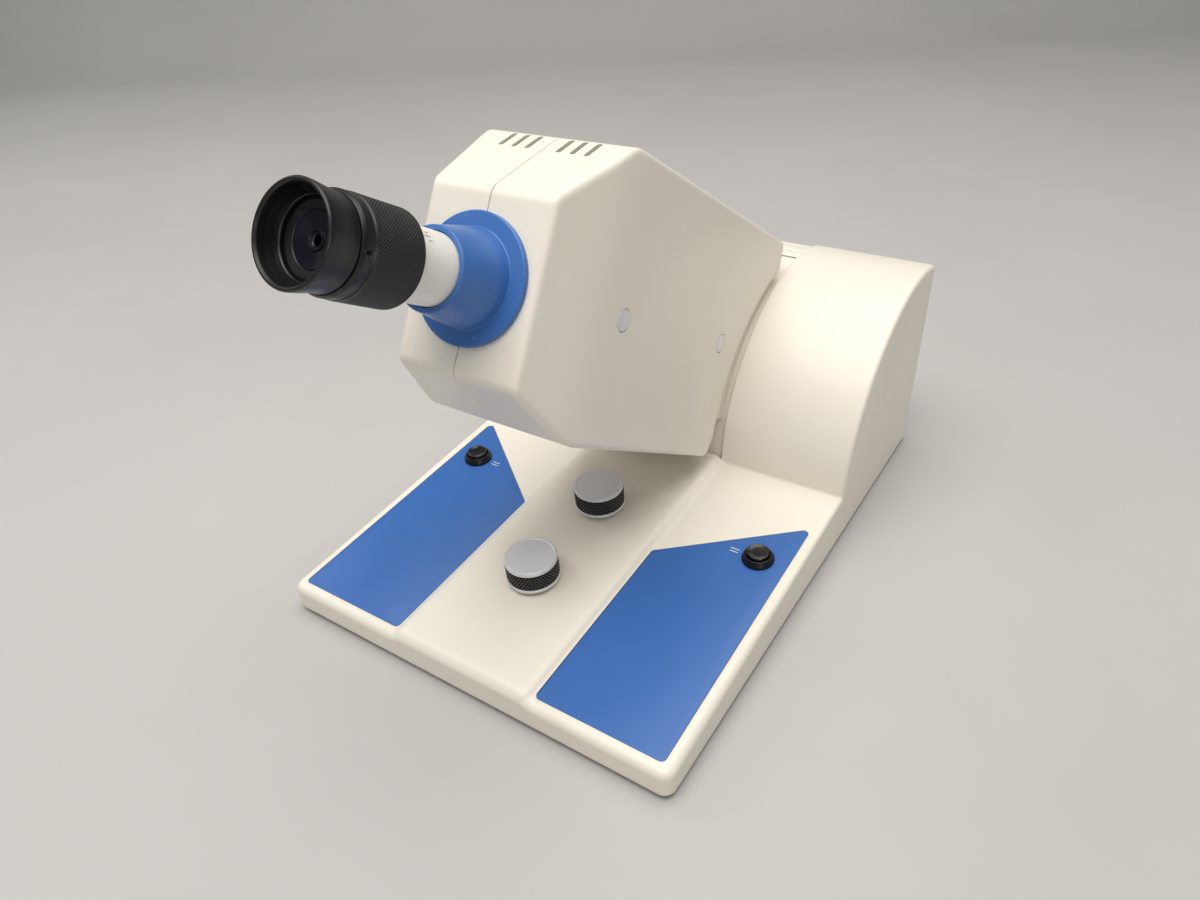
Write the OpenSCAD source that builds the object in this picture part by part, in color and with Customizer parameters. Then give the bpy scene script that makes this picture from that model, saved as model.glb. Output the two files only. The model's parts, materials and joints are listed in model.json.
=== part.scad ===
// Desktop colour-vision anomaloscope: a low wedge base with two rotary mixing
// knobs and two answer buttons, and a viewing head that tilts on a shaft
// between two rear cheeks.  Units are millimetres.
// Frame: +X is the user's right, -Y faces the user, +Z is up.  The origin is on
// the table, under the centre of the instrument's bounding box; the modules are
// written round the centre of the base, which lies base_centre_y behind it.

/* [Base casing] */
// overall width of the base, side to side
base_w = 240; // [236:1:240]
// overall depth of the base, front to back
base_d = 340; // [338:1:344]
// height of the casing's lower edge above the table
foot_gap = 3; // [2.5:0.5:4]
// distance of the base's centre behind the origin
base_centre_y = 19.5; // [15:0.1:25]
// height of the deck plane above the table at the front edge
deck_front = 17.8; // [17:0.2:19]
// wall thickness of the moulded casings
wall = 3; // [3:0.1:3.2]
// radius of the vertical corners of the base
corner_r = 6; // [5:0.5:9]
// height of the raised centre band above the deck plane
band_rise = 3.4; // [2.5:0.1:4]
// half width of the flat top of the centre band
band_half = 40; // [38:0.5:41]

/* [Tilt pivot] */
// distance of the tilt axis behind the origin
pivot_y = 138; // [137.5:0.1:138.5]
// height of the tilt axis above the table
pivot_z = 25.3; // [25:0.1:26]
// radius of the curved rear cheeks, measured from the tilt axis
cheek_r = 106.5; // [106:0.1:107]
// half width of the slot between the cheeks
slot_half = 42; // [41.9:0.05:42.3]
// radius of the pivot shaft
shaft_r = 6; // [5.5:0.1:6.5]

/* [Control panels, knobs and buttons] */
// thickness of the blue panel inlays
panel_t = 1; // [0.8:0.1:1.2]
// distance of the front knob's axis from the deck's front edge
knob1_s = 66.7; // [64:0.1:68]
// distance of the rear knob's axis from the deck's front edge
knob2_s = 132.6; // [130:0.1:134]
// outer radius of the knobs' bottom flange
knob_r = 14.9; // [14.5:0.1:16]
// half spacing of the two push-buttons
button_x = 97.6; // [96:0.2:98.5]
// distance of the push-buttons' axes from the deck's front edge
button_s = 137.6; // [135:0.2:139]

/* [Viewing head] */
// angle of the optical axis above the horizontal, in degrees
nose_tilt = 29.5; // [29.3:0.1:29.7]
// y of the centre of the head's front face
face_y = -122; // [-122.5:0.5:-121.5]
// z of the centre of the head's front face
face_z = 202; // [201.5:0.5:202.5]
// half height of the front face
face_half_h = 39.3; // [38.5:0.1:40]
// half width of the front face
face_half_w = 32.2; // [31.5:0.1:33]
// half width of the head behind the crease
head_half_w = 41.15; // [41:0.05:41.3]
// distance of the crease behind the front face
crease_u = 38.4; // [38:0.2:39]
// radius of the hollow rear end of the head
tail_r = 112.5; // [112:0.1:113]
// edge rounding of the head casing
head_edge_r = 3; // [2:0.5:5.5]

/* [Eyepiece] */
// offset of the eyepiece axis above the face centre
eye_v = 1; // [0.5:0.1:1.5]
// radius of the blue flange
flange_r = 28; // [27:0.1:29]
// outer radius of the white eyepiece tube
tube_r = 14.5; // [14.4:0.1:14.6]
// outer radius of the knurled focus barrel
barrel_r = 18.7; // [18.3:0.1:19]
// distance of the barrel's rear edge in front of the face
barrel_u = 49.2; // [48.5:0.1:50]
// outer radius of the eyecup rim
eyecup_r = 18.45; // [18:0.05:19]

/* [Hidden] */

$fn = 96;
fit = 0.2;              // static clearance between mating pieces
run = 0.05;             // running clearance of turning and sliding pieces
big = 600;              // longer than the whole instrument
rim_r = 4.2;            // rounded rim along the top edges of the base

back_y = base_d / 2;
deck_slope = 4.5;       // rise of the deck towards the back, in degrees
front_y = -base_d / 2;
half_w = base_w / 2;
slot_front = 34;        // front edge of the slot in the deck
slot_back = 137;        // rear edge of the slot in the roof
drum_r = cheek_r - 3.3; // outer radius of the neck cover's drum
bridge_r = cheek_r - 1.5;
drum_front_a = 186.5;   // end angles of the drum round the tilt axis
drum_back_a = 85;

panel_out = 113.9;      // outer edge of the blue panels
panel_in = 44.2;        // inner edge of the blue panels
panel_s0 = 5.8;         // front edge, measured up the deck
panel_s_in = 116.7;     // rear end of the inner edge
panel_s_out = 172.2;    // rear end of the outer edge

plate_t = 2;            // steel base plate
plate_top = foot_gap + plate_t;
screw_x = 112;          // base screw positions
screw_y = [-150, 0, 150];
foot_x = 96;
foot_y = 150;

knob_z0 = band_rise + 2.4;  // underside of the knob flange above the deck plane
knob_top = 19.6;          // top of the knob above the deck plane
knob_flange = 1.9;        // thickness of the knob's bottom flange
knob_disc = 2.6;          // thickness of the knob's top disc
encoder_shaft_r = 3;

bezel_hole_r = 7.6;
cap_r = 6.15;

rear_win = [84, 36];    // window in the back wall: width, height
rear_win_z = 33;

carrier_x0 = 31;        // inner and outer faces of the carrier plates
carrier_x1 = 35;
plug_front = [-71.4, 172.7];   // side screws, in (y, z)
plug_rear = [28.8, 116.7];
plug_r = 5.2;           // radius of the plugs over the side screws

tube_front_u = 62.5;    // front end of the eyepiece tube
collar_mouth_u = 26.8;
cup_u0 = 79.05;         // rear face of the eyecup
cup_u1 = 93.1;          // rim of the eyecup

// ---------- helpers ----------

function deck_z(y) = deck_front + tan(deck_slope) * (y - front_y);
function unit(v) = v / norm(v);

// inward unit normal of the edge a-b of a counter-clockwise outline
function inward(a, b) = let (d = unit(b - a)) [-d.y, d.x];

// outline moved inwards by d
function inset(p, d) = [for (i = [0 : len(p) - 1])
    let (a = p[(i + len(p) - 1) % len(p)], b = p[i], c = p[(i + 1) % len(p)],
         n1 = inward(a, b), n2 = inward(b, c))
    b + d * (n1 + n2) / (1 + n1 * n2)];

// convex outline with every corner rounded to radius r
function rounded(p, r, steps = 8) = [for (i = [0 : len(p) - 1])
    let (a = p[(i + len(p) - 1) % len(p)], b = p[i], c = p[(i + 1) % len(p)],
         n1 = inward(a, b), n2 = inward(b, c),
         centre = b + r * (n1 + n2) / (1 + n1 * n2),
         a1 = atan2(-n1.y, -n1.x), turn = acos(min(1, n1 * n2)))
    for (k = [0 : steps])
        centre + r * [cos(a1 + turn * k / steps), sin(a1 + turn * k / steps)]];

// (y, z) outline swept along X between x0 and x1
module side_extrude(x0, x1) {
    translate([x0, 0, 0])
        rotate([90, 0, 90])
            linear_extrude(x1 - x0)
                children();
}

// origin on the deck's front edge, local y up the slope, local z off the deck
module on_deck(x = 0, s = 0, z = 0) {
    translate([0, front_y, deck_front])
        rotate([deck_slope, 0, 0])
            translate([x, s, z])
                children();
}

// origin at the centre of the head's front face, local z along the optical
// axis towards the user, local y up the face
module on_face(u = 0, v = 0) {
    translate([0, face_y, face_z])
        rotate([90 - nose_tilt, 0, 0])
            translate([0, v, u])
                children();
}

// local z along +X through the tilt axis
module at_pivot(x = 0) {
    translate([x, pivot_y, pivot_z])
        rotate([0, 90, 0])
            children();
}

module tube(r_out, r_in, h) {
    difference() {
        cylinder(r = r_out, h = h);
        translate([0, 0, -1])
            cylinder(r = r_in, h = h + 2);
    }
}

module box_at(size, centre) {
    translate(centre)
        cube(size, center = true);
}

module hexagon(r, h) {
    cylinder(r = r, h = h, $fn = 6);
}

// flat bar with round ends between two (y, z) points
module link_2d(p, q, w) {
    d = q - p;
    bar_w = w - 0.2;
    translate(p)
        rotate(atan2(d.y, d.x))
            translate([0, -bar_w / 2])
                square([norm(d), bar_w]);
    translate(p)
        circle(r = w / 2);
    translate(q)
        circle(r = w / 2);
}

// waste outside a fillet of radius r between faces with unit normals d1, d2
module corner_waste(centre, d1, d2, r) {
    translate(centre)
        difference() {
            polygon([[0, 0], d1 * 4 * r, (d1 + d2) * 4 * r, d2 * 4 * r]);
            circle(r = r);
        }
}

// rectangular plan outline with round corners
module plan_2d(w, d, r) {
    square([w - 2 * r, d], center = true);
    square([w, d - 2 * r], center = true);
    for (sx = [-1, 1], sy = [-1, 1])
        translate([sx * (w / 2 - r), sy * (d / 2 - r)])
            circle(r = r);
}

// ---------- base casing ----------

deck_normal = [-sin(deck_slope), cos(deck_slope)];

// side outline of the base, in (y, z): front and top inset by i, deck line
// lifted by lift
module base_side(i, lift, edge_r) {
    fy = front_y + i;
    by = back_y;
    r = cheek_r - i;
    z_top = lift - i;
    back_off = by - edge_r - pivot_y;
    back_c = [by - edge_r, pivot_z + sqrt((r - edge_r) * (r - edge_r) - back_off * back_off)];
    difference() {
        union() {
            polygon([[fy, foot_gap], [pivot_y, foot_gap],
                     [pivot_y, deck_z(pivot_y) + z_top], [fy, deck_z(fy) + z_top]]);
            intersection() {
                union() {
                    translate([pivot_y, pivot_z])
                        circle(r = r, $fn = 180);
                    translate([pivot_y - r, foot_gap])
                        square([2 * r, pivot_z - foot_gap]);
                }
                translate([pivot_y - r - 1, foot_gap])
                    square([by - pivot_y + r + 1, big]);
            }
        }
        if (edge_r > 0) {
            front_edge_waste(z_top, edge_r);
            corner_waste(back_c, [1, 0], unit(back_c - [pivot_y, pivot_z]), edge_r);
        }
    }
}

// rounding between the front face and a line lifted above the deck
module front_edge_waste(lift, edge_r) {
    y = front_y + edge_r;
    corner_waste([y, deck_z(y) + lift - edge_r / cos(deck_slope)], [-1, 0], deck_normal, edge_r);
}

// side rims of the deck and of the curved cheeks, rounded to rim_r; the rim of
// the deck stops short of the cheeks and that of the cheeks clears the deck
module rim_waste() {
    deck_end = (pivot_y - cheek_r - front_y + 0.1) / cos(deck_slope);
    clear = 0.05;
    for (s = [-1, 1]) {
        on_deck(0, -20, 0)
            rotate([90, 0, 0])
                mirror([0, 0, 1])
                    linear_extrude(deck_end + 20)
                        corner_waste([s * (half_w - rim_r), -rim_r], [s, 0], [0, 1], rim_r);
        intersection() {
            translate([0, pivot_y, pivot_z])
                rotate([0, 90, 0])
                    rotate_extrude($fn = 180)
                        corner_waste([cheek_r - rim_r, s * (half_w - rim_r)], [0, s], [1, 0], rim_r);
            side_extrude(-half_w - 1, half_w + 1)
                polygon([[front_y, deck_z(front_y) + clear],
                         [back_y + 30, deck_z(back_y + 30) + clear],
                         [back_y + 30, 200], [front_y, 200]]);
        }
    }
}

module centre_band() {
    foot = band_half + 4;
    skirt = 3;
    spread = 4 * skirt / band_rise;
    y1 = slot_front + 1;
    intersection() {
        side_extrude(-foot - spread, foot + spread)
            difference() {
                polygon([[front_y, foot_gap], [y1, foot_gap],
                         [y1, deck_z(y1) + band_rise], [front_y, deck_z(front_y) + band_rise]]);
                front_edge_waste(band_rise, rim_r + 2);
            }
        on_deck(0, -10, 0)
            rotate([90, 0, 0])
                mirror([0, 0, 1])
                    linear_extrude(slot_front - front_y + 40)
                        polygon([[-foot - spread, -skirt], [foot + spread, -skirt],
                                 [band_half, band_rise], [-band_half, band_rise]]);
    }
}

module base_outer() {
    difference() {
        intersection() {
            side_extrude(-half_w, half_w)
                base_side(0, 0, rim_r);
            translate([0, 0, foot_gap])
                linear_extrude(200)
                    plan_2d(base_w, base_d, corner_r);
        }
        rim_waste();
    }
    centre_band();
}

module base_cavity() {
    inner = half_w - wall;
    intersection() {
        difference() {
            union() {
                side_extrude(-inner, inner)
                    base_side(wall, 0, 0);
                // hollow under the centre band
                side_extrude(3 - band_half, band_half - 3)
                    intersection() {
                        base_side(wall, band_rise, 0);
                        translate([front_y, 0])
                            square([slot_front - front_y, 100]);
                    }
            }
            // inner walls of the cheeks
            for (s = [-1, 1])
                translate([s > 0 ? slot_half : -slot_half - wall, slot_front - wall, plate_top + fit])
                    cube([wall, base_d, 200]);
        }
        translate([0, 0, foot_gap - 1])
            linear_extrude(200)
                plan_2d(base_w - 2 * wall, base_d - 2 * wall, corner_r - wall);
    }
    // mouth at the bottom
    translate([0, 0, foot_gap - 1])
        linear_extrude(1.02)
            plan_2d(base_w - 2 * wall, base_d - 2 * wall, corner_r - wall);
}

module panel_outline(grow) {
    pts = [[panel_in, panel_s0], [panel_out, panel_s0], [panel_out, panel_s_out],
           [panel_in, panel_s_in]];
    polygon(rounded(inset(pts, -grow), 2.5, 6));
}

module base_casing() {
    color("#efe9dc")
    difference() {
        union() {
            difference() {
                base_outer();
                base_cavity();
            }
            intersection() {
                base_outer();
                for (sx = [-1, 1], y = screw_y)
                    translate([sx * screw_x, y, plate_top + fit])
                        cylinder(r = 5.5, h = 12);
            }
        }
        // slot for the neck between the cheeks
        box_at([2 * slot_half, slot_back - slot_front, 300],
               [0, (slot_back + slot_front) / 2, 150]);
        // roof behind the slot is recessed and clears the drum below
        intersection() {
            at_pivot(-slot_half)
                cylinder(r = bridge_r - 1.5, h = 2 * slot_half, $fn = 180);
            box_at([200, 100, 300], [0, back_y - wall - 50, 0]);
        }
        intersection() {
            at_pivot(-slot_half)
                difference() {
                    cylinder(r = cheek_r + 5, h = 2 * slot_half, $fn = 180);
                    translate([0, 0, -1])
                        cylinder(r = bridge_r, h = 2 * slot_half + 2, $fn = 180);
                }
            box_at([2 * slot_half, 40, 40], [0, slot_back + 19, pivot_z + cheek_r]);
        }
        for (s = [knob1_s, knob2_s])
            on_deck(0, s, -20)
                cylinder(r = 4.7, h = 40);
        for (sx = [-1, 1]) {
            on_deck(sx * button_x, button_s, -8)
                cylinder(r = bezel_hole_r, h = 20);
            on_deck(0, 0, -panel_t)
                mirror([sx < 0 ? 1 : 0, 0, 0])
                    linear_extrude(panel_t + 5)
                        panel_outline(0.15);
            for (y = screw_y)
                translate([sx * screw_x, y, 0])
                    cylinder(r = 2.05, h = 15.2);
        }
        at_pivot(-slot_half - wall - 1)
            cylinder(r = 8, h = 2 * (slot_half + wall + 1));
        box_at([rear_win[0], 20, rear_win[1]], [0, back_y, rear_win_z]);
    }
}

module base_plate() {
    color("#8d9094")
    difference() {
        translate([0, 0, foot_gap])
            linear_extrude(plate_t)
                plan_2d(base_w - 2 * wall - 2 * fit, base_d - 2 * wall - 2 * fit, corner_r - wall - fit);
        for (sx = [-1, 1], y = screw_y)
            translate([sx * screw_x, y, 0])
                cylinder(r = 2.3, h = 20);
    }
}

module rubber_feet() {
    color("#202020")
    for (sx = [-1, 1], sy = [-1, 1])
        translate([sx * foot_x, sy * foot_y, 0])
            cylinder(r = 10, h = foot_gap);
}

module base_screws() {
    color("#b9bcc0")
    for (sx = [-1, 1], y = screw_y)
        translate([sx * screw_x, y, 0])
            difference() {
                union() {
                    translate([0, 0, foot_gap - 2])
                        cylinder(r = 3.8, h = 2);
                    translate([0, 0, foot_gap - 1])
                        cylinder(r = 2, h = 12);
                }
                hexagon(1.5, foot_gap - 0.6);
            }
}

module panel(side) {
    color("#3d6fb5")
    on_deck(0, 0, -panel_t)
        mirror([side < 0 ? 1 : 0, 0, 0])
            difference() {
                linear_extrude(panel_t)
                    panel_outline(0);
                translate([button_x, button_s, -1])
                    cylinder(r = bezel_hole_r, h = panel_t + 2);
            }
}

// ---------- knobs ----------

module encoders() {
    top = band_rise - wall - run;
    color("#3a3d40")
    for (s = [knob1_s, knob2_s])
        on_deck(0, s, 0)
        difference() {
            union() {
                box_at([16, 16, 8], [0, 0, top - 4]);
                cylinder(r = 4.5, h = 7.2);
            }
            translate([0, 0, -20])
                cylinder(r = encoder_shaft_r + run, h = 40);
        }
}

module encoder_nuts() {
    color("#b9bcc0")
    for (s = [knob1_s, knob2_s])
        on_deck(0, s, band_rise)
        difference() {
            hexagon(7, 2);
            translate([0, 0, -1])
                cylinder(r = 4.5, h = 4);
        }
}

module knob_shaft(s) {
    color("#c9ccd0")
    on_deck(0, s, -7.4)
        cylinder(r = encoder_shaft_r, h = 20.2);
}

module knob_core(s) {
    color("#c4c6c8")
    on_deck(0, s, 0)
        difference() {
            union() {
                translate([0, 0, knob_z0])
                    cylinder(r = knob_r, h = knob_flange);
                translate([0, 0, knob_z0])
                    cylinder(r = 12, h = knob_top - knob_disc - knob_z0);
            }
            translate([0, 0, knob_z0 - 1])
                cylinder(r = 8.2, h = 4.4);
            cylinder(r = encoder_shaft_r, h = 12.8);
        }
}

module knob_grip(s) {
    grooves = 60;
    r = knob_r - 0.4;
    z0 = knob_z0 + knob_flange;
    color("#1c1c1e")
    on_deck(0, s, z0)
        difference() {
            tube(r, 12, knob_top - knob_disc - z0);
            for (k = [0 : grooves - 1])
                rotate(k * 360 / grooves)
                    translate([r + 0.2, 0, 0.6])
                        rotate(45)
                            box_at([0.8, 0.8, 20], [0, 0, 10]);
        }
}

module knob_cap(s) {
    r = knob_r - 0.65;
    h = knob_disc;
    color("#c4c6c8")
    on_deck(0, s, knob_top - h)
        rotate_extrude()
            polygon([[0, 0], [r, 0], [r, h - 0.8], [r - 0.8, h], [r - 1.4, h],
                     [r - 2, h - 0.3], [0, h - 0.3]]);
}

// ---------- push-buttons ----------

module button_bezels() {
    color("#1a1a1b")
    for (side = [-1, 1])
        on_deck(side * button_x, button_s, 0)
        rotate_extrude()
            polygon([[cap_r + run, -11], [7.4, -11], [7.4, 0], [8.8, 0], [8.8, 1.4],
                     [8.3, 2.2], [7.3, 3.7], [6.9, 4.1], [cap_r + 0.35, 4.1], [cap_r + run, 3.6]]);
}

module bezel_nuts() {
    color("#b9bcc0")
    for (side = [-1, 1])
        on_deck(side * button_x, button_s, -wall - 2.5)
        difference() {
            hexagon(10.5, 2.4);
            translate([0, 0, -1])
                cylinder(r = 7.4, h = 5);
        }
}

module button_switches() {
    color("#303336")
    for (side = [-1, 1])
        on_deck(side * button_x, button_s, 0)
        box_at([15, 15, 4.4], [0, 0, -13.2]);
}

module button_cap(side) {
    color("#151515")
    on_deck(side * button_x, button_s, 0)
        rotate_extrude()
            polygon([[0, -8.9], [2, -8.9], [2, -6], [cap_r, -6], [cap_r, 5.2],
                     [cap_r - 0.55, 5.9], [cap_r - 0.9, 5.9], [cap_r - 2.4, 5.5], [0, 5.3]]);
}

// ---------- electronics in the base ----------

board_z = 8;
board_size = [120, 110];
board_y = -85;
board_hole = [54, 49];

module main_board() {
    color("#2f6a45")
    difference() {
        box_at([board_size[0], board_size[1], 1.6], [0, board_y, board_z + 0.8]);
        for (sx = [-1, 1], sy = [-1, 1])
            translate([sx * board_hole[0], board_y + sy * board_hole[1], 0])
                cylinder(r = 1.6, h = 20);
    }
}

module board_standoffs() {
    color("#d0b060")
    for (sx = [-1, 1], sy = [-1, 1])
        translate([sx * board_hole[0], board_y + sy * board_hole[1], plate_top])
            tube(3, 1.5, board_z - plate_top);
}

module power_supply() {
    color("#a8abad")
    difference() {
        box_at([36, 96, 40], [92, 95, plate_top + 20]);
        box_at([30, 90, 34], [92, 95, plate_top + 20]);
        for (k = [-3 : 3])
            box_at([24, 3, 20], [92, 95 + 10 * k, plate_top + 40]);
    }
}

inlet_x = 11;           // centre of the combined mains inlet and switch
inlet_size = [49, 21];
rocker_half = 8;        // the rocker turns this far either side of level

module rear_plate() {
    color("#2b2d2f")
    difference() {
        box_at([rear_win[0] - 2 * fit, 2, rear_win[1] - 2 * fit], [0, back_y - 2, rear_win_z]);
        box_at([inlet_size[0] + 2 * fit, 6, inlet_size[1] + 2 * fit], [inlet_x, back_y - 2, rear_win_z]);
        box_at([17.4, 6, 12.4], [-29, back_y - 2, rear_win_z]);
    }
}

module power_inlet() {
    socket_x = 20;
    color("#161616")
    difference() {
        union() {
            box_at([inlet_size[0], 16, inlet_size[1]], [inlet_x, back_y - 8.2, rear_win_z]);
            box_at([inlet_size[0] + 3, 0.8, inlet_size[1] + 3], [inlet_x, back_y - 0.6, rear_win_z]);
        }
        // mains socket with its three contacts
        box_at([24, 14, 15], [socket_x, back_y - 6, rear_win_z]);
        for (x = [-7, 0, 7])
            box_at([2.2, 8, 4.4], [socket_x + x, back_y - 14, rear_win_z]);
        // well of the rocker
        box_at([11, 12, 17], [-6, back_y - 5.2, rear_win_z]);
    }
}

module data_socket() {
    color("#9a9da0")
    difference() {
        box_at([17, 14, 12], [-29, back_y - 7.8, rear_win_z]);
        box_at([12, 10, 8], [-29, back_y - 3, rear_win_z]);
    }
}

module power_rocker() {
    color("#101010")
    translate([-6, back_y - 5.2, rear_win_z])
        rotate([rocker_half, 0, 0])
            intersection() {
                difference() {
                    translate([-5.4, 0, 0])
                        rotate([0, 90, 0])
                            cylinder(r = 7.6, h = 10.8);
                    // finger hollow
                    translate([-7, 19.4, 0])
                        rotate([0, 90, 0])
                            cylinder(r = 14, h = 14);
                }
                box_at([20, 12, 15], [0, 2, 0]);
            }
}

// ---------- pivot ----------

bracket_x = 47;
bracket_w = 44;

module pivot_brackets() {
    color("#77797c")
    for (side = [-1, 1])
        difference() {
            union() {
                side_extrude(side > 0 ? bracket_x : -bracket_x - 4,
                             side > 0 ? bracket_x + 4 : -bracket_x) {
                    translate([pivot_y, pivot_z])
                        circle(r = 16);
                    translate([pivot_y - bracket_w / 2, plate_top])
                        square([bracket_w, 14]);
                }
                translate([side > 0 ? bracket_x : -bracket_x - 22, pivot_y - bracket_w / 2, plate_top])
                    cube([22, bracket_w, 4]);
                // boss through the wall of the slot, bearing on the washer
                at_pivot(side > 0 ? slot_half - 1 : -bracket_x)
                    cylinder(r = 7.6, h = bracket_x - slot_half + 1);
            }
            at_pivot(-big / 2)
                cylinder(r = shaft_r, h = big);
            for (sy = [-1, 1])
                translate([side * (bracket_x + 15), pivot_y + sy * 14, plate_top + 1])
                    cylinder(r = 2.05, h = 20);
        }
}

module bracket_screws() {
    color("#b9bcc0")
    for (sx = [-1, 1], sy = [-1, 1])
        translate([sx * (bracket_x + 15), pivot_y + sy * 14, plate_top + 1])
            difference() {
                union() {
                    cylinder(r = 2, h = 4);
                    translate([0, 0, 3])
                        cylinder(r = 3.6, h = 3);
                }
                translate([0, 0, 4])
                    hexagon(1.6, 5);
            }
}

module pivot_shaft() {
    color("#b4b7ba")
    at_pivot(-60)
        cylinder(r = shaft_r, h = 120);
}

module pivot_nuts() {
    color("#b9bcc0")
    for (s = [-1, 1])
        at_pivot(s > 0 ? bracket_x + 4 : -bracket_x - 11)
            difference() {
                hexagon(10, 7);
                translate([0, 0, -1])
                    cylinder(r = shaft_r, h = 9);
            }
}

// ---------- head ----------

face_dir = [-cos(nose_tilt), sin(nose_tilt)];  // optical axis in (y, z)
face_up = [sin(nose_tilt), cos(nose_tilt)];
face_c = [face_y, face_z];
function face_pt(u, v) = face_c + u * face_dir + v * face_up;

crease_top_v = 70.4;
crease_bottom_v = 59.9;

// counter-clockwise (y, z) outline of the head seen from +X
head_pts = [face_pt(0, -face_half_h), face_pt(-crease_u, -crease_bottom_v), [15.3, 47.2],
            [60, 60], [110.5, 130.6], [114.5, 146.8], face_pt(-crease_u, crease_top_v),
            face_pt(0, face_half_h)];

// half plan of the head across the optical axis: (x, u)
function head_plan(i) = [[-face_half_w + i, -i], [-head_half_w + i, -crease_u],
    [-head_half_w + i, -big / 2], [head_half_w - i, -big / 2], [head_half_w - i, -crease_u],
    [face_half_w - i, -i]];

// centre of the hollow rear end, close to the tilt axis
module at_tail(x) {
    translate([0, -7, -5.3])
        at_pivot(x)
            children();
}

// rear end: hollow arc, with a blunt lower tip
module tail_waste(i) {
    tip = [15.3, 47.2 + i * sqrt(2)];
    at_tail(-60)
        cylinder(r = tail_r + i, h = 120, $fn = 180);
    side_extrude(-60, 60)
        polygon([tip, tip + [18, 18], [70, 66], [70, 30], [tip.x, 30]]);
}

module head_solid(i, r) {
    pts = rounded(inset(head_pts, i), r, 6);
    difference() {
        intersection() {
            side_extrude(-head_half_w - 1, head_half_w + 1)
                polygon(pts);
            on_face(0, 0)
                rotate([90, 0, 0])
                    translate([0, 0, -150])
                        linear_extrude(300)
                            polygon(rounded(head_plan(i), r, 6));
        }
        tail_waste(i);
    }
}

vent_x = [8.3, 15.4, 22.6];

module head_shell(side) {
    facet = unit([-crease_u, crease_top_v - face_half_h]);
    facet_a = atan2(facet.x, facet.y);
    color("#f1ebde")
    difference() {
        union() {
            difference() {
                head_solid(0, head_edge_r);
                head_solid(wall, 2);
            }
            intersection() {
                head_solid(0, head_edge_r);
                for (p = [plug_front, plug_rear])
                    translate([side > 0 ? carrier_x1 : -head_half_w, p.x, p.y])
                        rotate([0, 90, 0])
                            cylinder(r = 9, h = head_half_w - carrier_x1);
            }
        }
        // keep one side of the centre seam
        translate([side > 0 ? -big + 0.15 : -0.15, -big / 2, -big / 2])
            cube(big);
        // recessed seats of the side screws
        for (p = [plug_front, plug_rear]) {
            translate([side > 0 ? 0 : -big, p.x, p.y])
                rotate([0, 90, 0])
                    cylinder(r = 2.7, h = big);
            translate([side > 0 ? 37.6 : -big - 37.6, p.x, p.y])
                rotate([0, 90, 0])
                    cylinder(r = plug_r + 0.15, h = big);
        }
        // eyepiece bore in the front face
        on_face(-12, eye_v)
            cylinder(r = tube_r + 0.1, h = 30);
        // vents in the top facet
        on_face(0, 0)
            translate([0, face_half_h, 0])
                rotate([facet_a, 0, 0])
                    for (x = vent_x, e = [35.9, 46])
                        translate([side * x, e, -12])
                            cylinder(r = 1.25, h = 24, $fn = 32);
        on_face(0, 0)
            translate([0, face_half_h, 0])
                rotate([facet_a, 0, 0])
                    for (x = vent_x)
                        box_at([2.5, 10.1, 24], [side * x, 40.95, 0]);
        // opening for the carrier arms and the cable in the hollow rear
        box_at([2 * 36.2, 70, 44], [0, 62, 90]);
    }
}

// ring sector round the tilt axis between two angles
module drum_sector(r_out, r_in, half, a0, a1) {
    mid = (a0 + a1) / 2;
    spread = (a1 - a0) / 2;
    reach = 400;
    intersection() {
        at_pivot(-half)
            difference() {
                cylinder(r = r_out, h = 2 * half, $fn = 180);
                translate([0, 0, -1])
                    cylinder(r = r_in, h = 2 * half + 2, $fn = 180);
            }
        side_extrude(-half - 1, half + 1)
            translate([pivot_y, pivot_z])
                polygon([[0, 0], reach * [cos(mid - spread), sin(mid - spread)],
                         reach * [cos(mid), sin(mid)],
                         reach * [cos(mid + spread), sin(mid + spread)]]);
    }
}

module arm_side() {
    link_2d(plug_front, plug_rear, 22);
    link_2d(plug_rear, [pivot_y, pivot_z], 26);
    for (u = bench_screw_u)
        link_2d(face_pt(u, -4), face_pt(u, bench_v), 12);
}

module neck_cover() {
    color("#e9e3d6")
    difference() {
        union() {
            drum_sector(drum_r, drum_r - 2, slot_half - 0.8, drum_back_a, drum_front_a);
            intersection() {
                drum_sector(130, drum_r - 0.5, slot_half - 3.4, 108, 160);
                at_tail(-60)
                    cylinder(r = tail_r - run, h = 120, $fn = 180);
            }
        }
        // slits for the carrier arms
        for (s = [-1, 1])
            side_extrude(s > 0 ? carrier_x0 - fit : -carrier_x1 - fit,
                         s > 0 ? carrier_x1 + fit : -carrier_x0 + fit)
                link_2d(plug_rear, [pivot_y, pivot_z], 27);
        // cable passage
        box_at([30, 60, 16], [0, 62, 90]);
    }
}

module carrier_plates() {
    color("#8f9296")
    for (side = [-1, 1])
        difference() {
            union() {
                side_extrude(side > 0 ? carrier_x0 : -carrier_x1, side > 0 ? carrier_x1 : -carrier_x0)
                    arm_side();
                at_pivot(side > 0 ? carrier_x0 - 4 : -38.5)
                    cylinder(r = 12.4, h = 38.5 - carrier_x0 + 4);
            }
            at_pivot(-100)
                cylinder(r = shaft_r + 2, h = 200);
            for (p = [plug_front, plug_rear])
                translate([-50, p.x, p.y])
                    rotate([0, 90, 0])
                        cylinder(r = 2.05, h = 100);
            for (u = bench_screw_u)
                on_face(u, bench_v)
                    translate([-50, 0, 0])
                        rotate([0, 90, 0])
                            cylinder(r = 1.6, h = 100);
        }
}

module carrier_bushes() {
    color("#b08d4a")
    for (s = [-1, 1])
        at_pivot(s > 0 ? carrier_x0 - 4 : -38.5)
            tube(shaft_r + 2, shaft_r + run, 38.5 - carrier_x0 + 4);
}

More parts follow.
